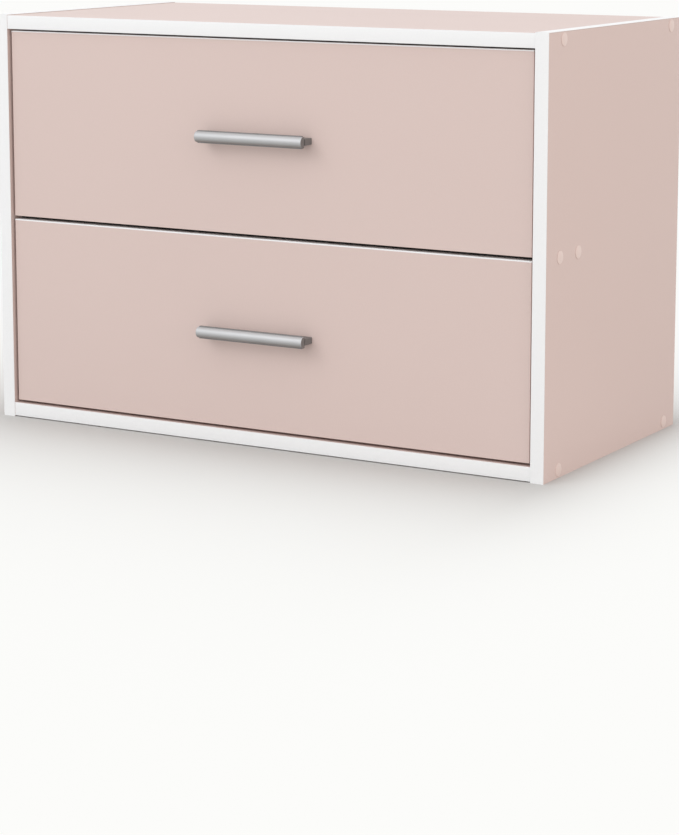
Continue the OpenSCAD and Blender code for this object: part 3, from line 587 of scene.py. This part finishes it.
def finished(work):
    """A plain smooth mesh of what was worked on."""
    mesh = bpy.data.meshes.new("piece")
    work.to_mesh(mesh)
    work.free()
    return smoothed(mesh)


def add_piece(name, mesh, material, body, slot, *stands_for):
    """Adds a finished mesh that rides on a body and stands for construction nodes."""
    mesh.name = name
    mesh.materials.clear()
    mesh.materials.append(material)
    piece = new_object(name, mesh)
    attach(piece, body)
    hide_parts(*stands_for)


def separate_solids(node):
    """Box of each separate solid of a construction node, from low to high in X, Y and Z."""
    work = bmesh.new()
    work.from_mesh(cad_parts[node].data)
    bmesh.ops.remove_doubles(work, verts=work.verts, dist=1e-6)
    seen = set()
    boxes = []
    for start in work.verts:
        if start in seen:
            continue
        seen.add(start)
        island = [start]
        for vert in island:  # it grows on the way
            for edge in vert.link_edges:
                other = edge.other_vert(vert)
                if other not in seen:
                    seen.add(other)
                    island.append(other)
        low, high = (
            Vector(pick(vert.co[axis] for vert in island) for axis in (X, Y, Z)) for pick in (min, max)
        )
        boxes.append((low, high))
    work.free()
    return sorted(boxes, key=lambda box: tuple(round(c, 5) for c in box[0]))


def seed_mesh(seeds):
    """Separate points or straight lines, each with the direction that it faces as its last item."""
    mesh = bpy.data.meshes.new("seeds")
    ends = [end for seed in seeds for end in seed[:-1]]
    is_line = len(seeds[0]) > 2
    mesh.from_pydata(ends, [(i, i + 1) for i in range(0, len(ends), 2)] if is_line else [], [])
    layer = mesh.attributes.new("outward", "FLOAT_VECTOR", "POINT")
    layer.data.foreach_set("vector", [c for seed in seeds for _ in seed[:-1] for c in seed[-1]])
    return mesh


# ---- geometry trees

FILLET_STEPS = 4
DOME_SIDES, DOME_RINGS, STEM_SIDES = 32, 5, 10
SCREW_SIDES, SHANK_SIDES = 24, 12
RECESS_LENGTH, RECESS_WIDTH = 0.56, 0.13  # shares of the head's diameter
RECESS_BLOCK = 1.2  # height of the cutting block as a share of the head's, half of it above


def outward_attribute(tree):
    """The direction that each point stores."""
    return result(tree, "GeometryNodeInputNamedAttribute", {"Name": "outward"}, data_type="FLOAT_VECTOR")


def shifted(tree, shape, **place):
    """A shape moved along X, Y or Z."""
    inputs = {"Geometry": shape, "Translation": vector(tree, **place)}
    return result(tree, "GeometryNodeTransform", inputs)


def rod(tree, sides, diameter, reach, top):
    """An upright rod that hangs down from the given height."""
    inputs = {"Vertices": sides, "Radius": times(tree, diameter, 0.5), "Depth": reach}
    shape = result(tree, "GeometryNodeMeshCylinder", inputs)
    return shifted(tree, shape, z=minus(tree, top, times(tree, reach, 0.5)))


def on_points(tree, points, *shapes):
    """Puts the shapes on each point, with their Z axis turned outwards."""
    joined = add_node(tree, "GeometryNodeJoinGeometry")
    for shape in shapes:
        tree.links.new(shape, joined.inputs[0])
    inputs = {"Vector": outward_attribute(tree)}
    facing = result(tree, "FunctionNodeAlignRotationToVector", inputs, axis="Z")
    inputs = {"Points": points, "Instance": joined.outputs[0], "Rotation": facing}
    return result(tree, "GeometryNodeInstanceOnPoints", inputs)


@geometry_tree("Edging Strips", Width=NUMBER, Thickness=NUMBER, Rounding=NUMBER)
def edging_strips(tree, given):
    """Sweeps a flat strip with rounded outer edges along each line, standing on its board."""
    curve = result(tree, "GeometryNodeMeshToCurve", {"Mesh": given["Geometry"]})
    inputs = {"Curve": curve, "Normal": outward_attribute(tree)}
    line = result(tree, "GeometryNodeSetCurveNormal", inputs, mode="FREE")
    # The inner half of each rounding lies inside the board
    height = plus(tree, given["Thickness"], given["Rounding"])
    inputs = {"Width": height, "Height": given["Width"]}
    section = result(tree, "GeometryNodeCurvePrimitiveQuadrilateral", inputs)
    inputs = {"Curve": section, "Count": FILLET_STEPS, "Radius": given["Rounding"]}
    rounded = result(tree, "GeometryNodeFilletCurve", inputs, mode="POLY")
    out = times(tree, minus(tree, given["Thickness"], given["Rounding"]), 0.5)
    inputs = {"Curve": line, "Profile Curve": shifted(tree, rounded, x=out), "Fill Caps": True}
    return result(tree, "GeometryNodeCurveToMesh", inputs)


@geometry_tree("Domed Heads", Diameter=NUMBER, Height=NUMBER, Rim=NUMBER, Stem=NUMBER, Stem_Length=NUMBER)
def domed_heads(tree, given):
    """Low domes on a stem: cover caps, nails and pan heads."""
    radius = times(tree, given["Diameter"], 0.5)
    half = times(tree, given["Height"], 0.5)
    inputs = {"Vertices": DOME_SIDES, "Side Segments": 1, "Fill Segments": DOME_RINGS}
    inputs.update({"Radius": radius, "Depth": given["Height"]})
    disc = result(tree, "GeometryNodeMeshCylinder", inputs, fill_type="TRIANGLE_FAN")
    x, y, z = parts(tree, result(tree, "GeometryNodeInputPosition"))
    squares = plus(tree, times(tree, x, x), times(tree, y, y))
    outwards = over(tree, squares, times(tree, radius, radius))
    fall = times(tree, minus(tree, given["Rim"], given["Height"]), outwards)
    seated = shifted(tree, disc, z=half)
    upper = maths(tree, "GREATER_THAN", z, half)
    inputs = {"Geometry": seated, "Selection": upper, "Offset": vector(tree, z=fall)}
    domed = result(tree, "GeometryNodeSetPosition", inputs)
    stem = rod(tree, STEM_SIDES, given["Stem"], given["Stem Length"], 0.0)
    return on_points(tree, given["Geometry"], stem, domed)


@geometry_tree("Cross Screws", Diameter=NUMBER, Head_Height=NUMBER, Shank=NUMBER, Length=NUMBER)
def cross_screws(tree, given):
    """Countersunk screws with a cross recess, their heads level with the point."""
    inputs = {
        "Vertices": SCREW_SIDES,
        "Radius Top": times(tree, given["Diameter"], 0.5),
        "Radius Bottom": times(tree, given["Shank"], 0.5),
        "Depth": given["Head Height"],
    }
    head = result(tree, "GeometryNodeMeshCone", inputs)
    sunk = times(tree, given["Head Height"], -1.0)
    carved = add_node(tree, "GeometryNodeMeshBoolean", operation="DIFFERENCE", solver="EXACT")
    tree.links.new(shifted(tree, head, z=sunk), carved.inputs["Mesh 1"])
    wide = times(tree, given["Diameter"], RECESS_LENGTH)
    narrow = times(tree, given["Diameter"], RECESS_WIDTH)
    deep = times(tree, given["Head Height"], RECESS_BLOCK)
    for size in (vector(tree, wide, narrow, deep), vector(tree, narrow, wide, deep)):
        tree.links.new(result(tree, "GeometryNodeMeshCube", {"Size": size}), carved.inputs["Mesh 2"])
    shank = rod(tree, SHANK_SIDES, given["Shank"], given["Length"], sunk)
    return on_points(tree, given["Geometry"], shank, carved.outputs["Mesh"])


def grown(name, seeds, tree, material, **values):
    """Runs a Geometry Nodes tree on points or lines and returns the result as a plain mesh."""
    seed = new_object(f"{name}_seed", seed_mesh(seeds))
    modifier = seed.modifiers.new("Grow", "NODES")
    modifier.node_group = tree
    named = {item.name: item.identifier for item in tree.interface.items_tree if item.in_out == "INPUT"}
    modifier[named["Material"]] = material
    for key, value in values.items():
        modifier[named[spaced(key)]] = value
    seen_by = bpy.context.evaluated_depsgraph_get()
    mesh = bpy.data.meshes.new_from_object(seed.evaluated_get(seen_by), depsgraph=seen_by)
    seed.modifiers.remove(modifier)
    bpy.data.objects.remove(seed)
    if not mesh.polygons:
        raise RuntimeError(f"{name}: the tree made nothing")
    return smoothed(mesh)


def grow_piece(name, seeds, tree, material, body, slot, *nodes, **values):
    """Adds a piece that a Geometry Nodes tree makes from points or lines."""
    add_piece(name, grown(name, seeds, tree, material, **values), material, body, slot, *nodes)


# ---- pieces


class CHEST_OT_boards(bpy.types.Operator):
    """Gives the carcass, the drawer fronts and the drawer boxes their board finishes"""

    bl_idname = "chest.boards"
    bl_label = "Boards"

    def execute(self, context):
        look = context.scene.disc_chest.boards
        for side in SIDES:
            node = f"{side}_side_panel"
            dress(board_material(node, look, (1, 0, 0), ("-Y", "+Z")), node)
        for node in ("top_panel", "bottom_panel", "divider_rail"):
            dress(board_material(node, look, (0, 0, 1), ("-X", "+X", "-Y")), node)
        dress(hardboard_material("Hardboard back", look, (0, 1, 0)), "back_panel")
        box_board = grained_material(
            "White drawer board", look.white, look.grain_size, look.grain_depth, 0.02, look.roughness
        )
        box_floor = hardboard_material("Hardboard drawer floor", look, (0, 0, -1))
        for lev in LEVELS:
            front = f"{lev}_front"
            dress(board_material(front, look, (0, 1, 0)), front)
            dress(box_board, f"{lev}_box_left_side", f"{lev}_box_right_side", f"{lev}_box_back")
            dress(box_floor, f"{lev}_box_bottom")
        return {"FINISHED"}


def carcass_lines():
    """Lines of the strips on the sides, the top and the bottom board."""
    lines = []
    for side in SIDES:
        low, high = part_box(f"{side}_side_edging")
        board_low, board_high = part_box(f"{side}_side_panel")
        middle = (low.x + high.x) / 2
        lines.append(((middle, board_low.y, low.z), (middle, board_low.y, high.z), (0, -1, 0)))
        lines.append(((middle, board_low.y, board_high.z), (middle, board_high.y, board_high.z), (0, 0, 1)))
    for level in ("top", "bottom"):
        low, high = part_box(f"{level}_edging")
        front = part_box(f"{level}_panel")[0].y
        middle = (low.z + high.z) / 2
        lines.append(((low.x, front, middle), (high.x, front, middle), (0, -1, 0)))
    return lines


def front_strips(level):
    """Lines and thickness of a drawer front's strip on top, and of those on its other edges."""
    low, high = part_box(f"{level}_front_edging")
    board_low, board_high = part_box(f"{level}_front")
    middle = (low.y + high.y) / 2
    top = [((low.x, middle, board_high.z), (high.x, middle, board_high.z), (0, 0, 1))]
    others = [((low.x, middle, board_low.z), (high.x, middle, board_low.z), (0, 0, -1))]
    for x, sign in ((board_low.x, -1), (board_high.x, 1)):
        others.append(((x, middle, board_low.z), (x, middle, board_high.z), (sign, 0, 0)))
    return (top, high.z - board_high.z), (others, board_low.z - low.z)


class CHEST_OT_edging(bpy.types.Operator):
    """Lays the edging strips along the boards and round the drawer fronts"""

    bl_idname = "chest.edging"
    bl_label = "Edging strips"

    def execute(self, context):
        sizes = context.scene.disc_chest.edging
        look = context.scene.disc_chest.boards
        white = grained_material(
            "White edging", sizes.white, grain=0.9 * MM, depth=0.006 * MM, drift=0.01, roughness=0.38
        )
        rose = grained_material(
            "Rose edging", look.rose, look.grain_size, look.grain_depth, drift=0.01, roughness=0.4
        )
        # The cross rail's strip takes the painted shade of the gap
        rail_shade = grained_material(
            "Painted rail shade", sizes.rail_shade, grain=0.5 * MM, depth=0.05 * MM, drift=0.05, roughness=0.8
        )
        tree = edging_strips()
        shape = {"Width": sizes.width, "Rounding": sizes.rounding}
        nodes = [f"{place}_edging" for place in ("left_side", "right_side", "top", "bottom")]
        grow_piece(
            "carcass_strips", carcass_lines(), tree, white, "cabinet", "white_edging", *nodes,
            Thickness=sizes.thickness, **shape,
        )
        for lev in LEVELS:
            top, others = front_strips(lev)
            for name, (lines, thickness), material, slot in (
                ("top_strip", top, white, "white_edging"),
                ("rose_strips", others, rose, "rose_board"),
            ):
                grow_piece(
                    f"{lev}_front_{name}", lines, tree, material, f"{lev}_drawer", slot,
                    f"{lev}_front_edging", Thickness=thickness, **shape,
                )
        dress(rail_shade, "divider_rail_edging")
        return {"FINISHED"}


SLEEVE_SIDES = 28
SLEEVE_END_STEPS = 5


def sleeve_section(radius, depth):
    """Round section whose back is cut flat, as (y, z) from the front."""
    half = math.pi - math.acos((depth - radius) / radius)
    angles = [-half + 2 * half * i / SLEEVE_SIDES for i in range(SLEEVE_SIDES + 1)]
    return [(radius - radius * math.cos(a), radius * math.sin(a)) for a in angles]


def sleeve_mesh(low, high, sizes):
    """The silver sleeve along X, in the front of the given box, its ends rounded."""
    radius = sizes.sleeve / 2
    middle = (high.z + low.z) / 2
    stations = [math.pi / 2 * i / SLEEVE_END_STEPS for i in range(SLEEVE_END_STEPS + 1)]
    work = bmesh.new()
    rings = []
    for end, sign in ((low.x, 1), (high.x, -1)):
        for angle in stations[::sign]:
            inset = sizes.rounding * (1 - math.sin(angle))
            x = end + sign * sizes.rounding * (1 - math.cos(angle))
            section = sleeve_section(radius - inset, sizes.sleeve_depth - inset)
            rings.append([work.verts.new((x, low.y + inset + y, middle + z)) for y, z in section])
    count = len(rings[0])
    for near, far in zip(rings, rings[1:]):
        for i in range(count):
            j = (i + 1) % count
            work.faces.new((near[i], near[j], far[j], far[i]))
    work.faces.new(rings[0])
    work.faces.new(rings[-1][::-1])
    bmesh.ops.recalc_face_normals(work, faces=work.faces)
    return finished(work)


def rounded_blocks_mesh(boxes, rounding, along):
    """Blocks whose edges along one axis are rounded."""
    work = bmesh.new()
    for low, high in boxes:
        place = Matrix.Translation((low + high) / 2) @ Matrix.Diagonal((*(high - low), 1.0))
        bmesh.ops.create_cube(work, size=1.0, matrix=place)
    edges = [e for e in work.edges if abs((e.verts[0].co - e.verts[1].co)[along]) > rounding]
    bmesh.ops.bevel(work, geom=edges, offset=rounding, segments=4, profile=0.5, affect="EDGES")
    return finished(work)


class CHEST_OT_handles(bpy.types.Operator):
    """Makes each handle: a round silver sleeve on a flat dark core, with two dark feet"""

    bl_idname = "chest.handles"
    bl_label = "Handles"

    def execute(self, context):
        sizes = context.scene.disc_chest.handles
        silver = sleeve_material(sizes)
        grey = brushed_material(
            "Dark handle metal", sizes.grey, lines=(900.0, 900.0, 60.0), contrast=0.35, roughness=0.45,
            depth=0.02 * MM, Metallic=0.6,
        )
        for lev in LEVELS:
            body = f"{lev}_drawer"
            bar = f"{lev}_handle_bar"
            feet = f"{lev}_handle_feet"
            low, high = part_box(bar)
            sleeve = sleeve_mesh(low, high, sizes)
            add_piece(f"{lev}_handle_sleeve", sleeve, silver, body, "handle_bar", bar)
            core_low = Vector((low.x + sizes.end_step, high.y - sizes.core_depth, low.z))
            core_high = Vector((high.x - sizes.end_step, high.y, high.z))
            core = rounded_blocks_mesh([(core_low, core_high)], sizes.rounding, X)
            add_piece(f"{lev}_handle_core", core, grey, body, "handle_feet", bar)
            posts = rounded_blocks_mesh(separate_solids(feet), sizes.foot_rounding, Y)
            add_piece(f"{lev}_handle_posts", posts, grey, body, "handle_feet", feet)
        return {"FINISHED"}


class CHEST_OT_cover_caps(bpy.types.Operator):
    """Puts the rose cover caps on the sides"""

    bl_idname = "chest.cover_caps"
    bl_label = "Cover caps"

    def execute(self, context):
        sizes = context.scene.disc_chest.caps
        rose = grained_material(
            "Rose cap plastic", sizes.rose, grain=0.6 * MM, depth=0.006 * MM, drift=0.01, roughness=0.36
        )
        places = []
        for side, sign in (("left", -1), ("right", 1)):
            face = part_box(f"{side}_side_panel")[sign > 0].x
            for low, high in separate_solids(f"{side}_cover_caps"):
                middle = (low + high) / 2
                places.append(((face, middle.y, middle.z), (sign, 0, 0)))
        cap = {"Diameter": sizes.diameter, "Height": sizes.height, "Rim": sizes.rim, "Stem": sizes.stem}
        grow_piece(
            "cover_cap_set", places, domed_heads(), rose, "cabinet", "rose_caps",
            "left_cover_caps", "right_cover_caps", Stem_Length=2.0 * MM, **cap,
        )
        return {"FINISHED"}


def screw_places(node, inwards=False):
    """Head and direction of each screw: those that run across the chest, then the upright ones."""
    across = []
    upright = []
    for low, high in separate_solids(node):
        middle = (low + high) / 2
        if high.x - low.x < high.z - low.z:
            upright.append(((middle.x, middle.y, low.z + PAN_HEIGHT), (0, 0, -1)))
            continue
        sign = 1 if middle.x > 0 else -1
        near, far = sorted((low.x, high.x), key=abs)
        head = near if inwards else far
        across.append(((head, middle.y, middle.z), (-sign if inwards else sign, 0, 0)))
    return across, upright


class CHEST_OT_fasteners(bpy.types.Operator):
    """Drives the nails of the back and the screws of the runners and boxes"""

    bl_idname = "chest.fasteners"
    bl_label = "Screws and nails"

    def execute(self, context):
        sizes = context.scene.disc_chest.fittings
        zinc = plated_material("Zinc plate", sizes.zinc, roughness=0.34)
        slot = "screw_steel"
        nails = []
        for low, high in separate_solids("back_nails"):
            middle = (low + high) / 2
            nails.append(((middle.x, high.y - NAIL_HEIGHT, middle.z), (0, 1, 0)))
        nail = {"Diameter": sizes.nail_head, "Height": NAIL_HEIGHT, "Rim": sizes.nail_rim,
                "Stem": sizes.nail_shank, "Stem_Length": 19.0 * MM}
        grow_piece("back_nail_set", nails, domed_heads(), zinc, "cabinet", slot, "back_nails", **nail)
        screw = {"Diameter": sizes.screw_head, "Head_Height": 1.2 * MM, "Shank": sizes.screw_shank}
        corner = {"Diameter": sizes.corner_head, "Head_Height": 2.6 * MM, "Shank": sizes.corner_shank}
        pan = {"Diameter": sizes.pan_head, "Height": PAN_HEIGHT, "Rim": 0.7 * MM,
               "Stem": 2.4 * MM, "Stem_Length": 15.5 * MM}
        tree = cross_screws()
        node = "cabinet_runner_screws"
        places, _ = screw_places(node, inwards=True)
        name = "cabinet_runner_screw_set"
        grow_piece(name, places, tree, zinc, "cabinet", slot, node, Length=11.0 * MM, **screw)
        for lev in LEVELS:
            body = f"{lev}_drawer"
            node = f"{lev}_drawer_runner_screws"
            places, _ = screw_places(node)
            grow_piece(f"{node}_set", places, tree, zinc, body, slot, node, Length=8.0 * MM, **screw)
            node = f"{lev}_box_screws"
            across, upright = screw_places(node)
            work = bmesh.new()
            work.from_mesh(grown(f"{lev}_corner_screws", across, tree, zinc, Length=36.0 * MM, **corner))
            work.from_mesh(grown(f"{lev}_pan_screws", upright, domed_heads(), zinc, **pan))
            add_piece(f"{lev}_box_screw_set", finished(work), zinc, body, slot, node)
            dress(zinc, f"{lev}_handle_screws")
        dress(zinc, "carcass_screws")
        return {"FINISHED"}


class CHEST_OT_runners(bpy.types.Operator):
    """Finishes the runners, rollers, pins, cams and dowels"""

    bl_idname = "chest.runners"
    bl_label = "Runners and fittings"

    def execute(self, context):
        sizes = context.scene.disc_chest.fittings
        powder = grained_material(
            "White powder coat", sizes.powder, grain=0.7 * MM, depth=0.008 * MM, drift=0.015, roughness=0.42
        )
        nylon = grained_material(
            "Roller nylon", sizes.nylon, grain=0.5 * MM, depth=0.01 * MM, drift=0.03, roughness=0.4,
            Subsurface_Weight=0.05,
        )
        rivet = plated_material("Rivet steel", sizes.zinc, roughness=0.4)
        cast = plated_material("Cast zinc", sizes.zinc, roughness=0.46)
        beech = brushed_material(
            "Beech dowel", sizes.beech, lines=(40.0, 1500.0, 1500.0), contrast=0.3, roughness=0.6,
            depth=0.05 * MM,
        )
        for lev in LEVELS:
            for side in SIDES:
                dress(powder, f"{lev}_{side}_cabinet_runner", f"{lev}_{side}_drawer_runner")
                dress(nylon, f"{lev}_{side}_front_roller", f"{lev}_{side}_rear_roller")
            dress(rivet, f"{lev}_drawer_roller_pins")
            dress(cast, f"{lev}_front_cams_and_bolts")
        dress(rivet, "cabinet_roller_pins")
        dress(beech, "carcass_dowels")
        return {"FINISHED"}


# ---- stage


def background_rays(tree):
    """1 for what the camera sees, also by way of gloss and glass, and 0 for the light itself."""
    path = add_node(tree, "ShaderNodeLightPath").outputs
    shiny = maths(tree, "MAXIMUM", path["Is Glossy Ray"], path["Is Transmission Ray"])
    return maths(tree, "MAXIMUM", path["Is Camera Ray"], shiny)


def floor_material(stage):
    """Pale floor that keeps the shadow near the chest and turns plain white further out, its fade painting
    the shadow's falloff.
    """
    material, tree, shader = new_material("Pale floor", Roughness=0.6, Specular_IOR_Level=0.2)
    place = object_place(tree)
    half = (extent("top_panel", X) / 2 + extent("left_side_panel", X), extent("top_panel", Y) / 2, 0)
    past = vector_maths(tree, "SUBTRACT", vector_maths(tree, "ABSOLUTE", place), half)
    outside = vector_maths(tree, "MAXIMUM", past)
    # Painted light: the floor turns white sooner to the right of the chest
    on_right = maths(tree, "GREATER_THAN", parts(tree, place)[X], 0.0)
    weight = vector(tree, mix_numbers(tree, on_right, 1.0, stage.floor_right), 1.0)
    away = vector_maths(tree, "LENGTH", vector_maths(tree, "MULTIPLY", outside, weight))
    # Painted shadow: the share of lit floor that shows falls off with distance from the chest
    near = maths(tree, "EXPONENT", over(tree, away, -stage.painted_shadow_reach))
    haze = swing(tree, noise(tree, place, scale=6.0), 0.995, 1.005)
    tree.links.new(tinted(tree, stage.floor, haze), shader.inputs["Base Color"])
    white = result(tree, "ShaderNodeEmission", {"Color": stage.floor_white, "Strength": 1.0})
    painted_white_share = times(tree, minus(tree, 1.0, near), background_rays(tree))
    blend = result(tree, "ShaderNodeMixShader", {0: painted_white_share, 1: shader.outputs[0], 2: white})
    tree.links.new(blend, tree.nodes["Material Output"].inputs["Surface"])
    return material


def add_floor(stage):
    """A large level square under the chest."""
    mesh = bpy.data.meshes.new("floor")
    corners = [(FLOOR_HALF * x, FLOOR_HALF * y, 0) for x, y in ((-1, -1), (1, -1), (1, 1), (-1, 1))]
    mesh.from_pydata(corners, [], [(0, 1, 2, 3)])
    mesh.materials.append(floor_material(stage))
    new_object("floor", mesh)


def add_lamp(name, place, energy, tint=(1.0, 1.0, 1.0)):
    """A large soft lamp that faces the middle of the chest."""
    data = bpy.data.lights.new(name, "AREA")
    data.size = LAMP_SIZE
    data.energy = energy
    data.color = tint
    lamp = new_object(name, data)
    lamp.location = place
    lamp.rotation_euler = (LAMP_AIM - Vector(place)).to_track_quat("-Z", "Y").to_euler()


def add_sky(stage):
    """White for what the camera and shiny surfaces see, and a plain level for the light itself."""
    world = bpy.data.worlds.new("Studio")
    bpy.context.scene.world = world
    world.use_nodes = True
    tree = world.node_tree
    background = tree.nodes["Background"]
    background.inputs["Color"].default_value = (1, 1, 1, 1)
    strength = mix_numbers(tree, background_rays(tree), stage.sky, 1.0)
    tree.links.new(strength, background.inputs["Strength"])


def add_camera(stage):
    """The camera at the photograph's viewing angle."""
    data = bpy.data.cameras.new("Camera")
    data.sensor_width = SENSOR
    data.lens = stage.focal_pixels / PHOTO_HEIGHT * SENSOR
    data.shift_y = stage.shift
    data.clip_end = CLIP_END
    camera = new_object("Camera", data)
    carcass_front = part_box("left_side_edging")[0].y
    camera.location = Vector(stage.camera_place) + Vector((0, carcass_front, 0))
    camera.rotation_euler = (math.pi / 2 - stage.pitch, 0, stage.yaw)
    bpy.context.scene.camera = camera


class CHEST_OT_stage(bpy.types.Operator):
    """Sets the pale floor, the soft light and the camera"""

    bl_idname = "chest.stage"
    bl_label = "Stage"

    def execute(self, context):
        stage = context.scene.disc_chest.stage
        add_floor(stage)
        add_sky(stage)
        add_lamp("Front lamp", place=(-1.4, -2.4, 2.2), energy=stage.front_lamp)
        add_lamp("Low lamp", place=(0.2, -3.2, 0.9), energy=stage.low_lamp)
        add_lamp("Side lamp", place=(2.6, -0.6, 0.7), energy=stage.side_lamp, tint=stage.side_tint)
        add_camera(stage)
        context.scene.view_settings.view_transform = "Standard"
        return {"FINISHED"}


# ---- add-on


class CHEST_PT_finish(bpy.types.Panel):
    """Sizes, colours and steps of the chest's finish"""

    bl_idname = "CHEST_PT_finish"
    bl_label = "Disc Chest"
    bl_space_type = "VIEW_3D"
    bl_region_type = "UI"
    bl_category = "Disc Chest"

    def draw(self, context):
        settings = context.scene.disc_chest
        for step in STEPS:
            self.layout.operator(step.bl_idname)
        for part in settings.bl_rna.properties:
            if part.type != "POINTER" or part.identifier == "rna_type":
                continue
            box = self.layout.box()
            box.label(text=part.name)
            group = getattr(settings, part.identifier)
            for item in group.bl_rna.properties:
                if item.identifier not in ("rna_type", "name"):
                    box.prop(group, item.identifier)


STEPS = (
    CHEST_OT_boards, CHEST_OT_edging, CHEST_OT_handles, CHEST_OT_cover_caps, CHEST_OT_fasteners,
    CHEST_OT_runners, CHEST_OT_stage,
)
CLASSES = (
    BoardFinish, EdgingSizes, HandleSizes, CapSizes, FittingSizes, StageSettings, ChestSettings,
    *STEPS, CHEST_PT_finish,
)


def register():
    """Registers the classes and the chest's settings."""
    for kind in CLASSES:
        bpy.utils.register_class(kind)
    bpy.types.Scene.disc_chest = PointerProperty(type=ChestSettings)


def unregister():
    """Takes the settings and the classes away again."""
    del bpy.types.Scene.disc_chest
    for kind in reversed(CLASSES):
        bpy.utils.unregister_class(kind)


def main():
    """Makes every piece and the stage."""
    register()
    for step in STEPS:
        area, name = step.bl_idname.split(".")
        getattr(getattr(bpy.ops, area), name)()


if __name__ == "__main__":
    main()
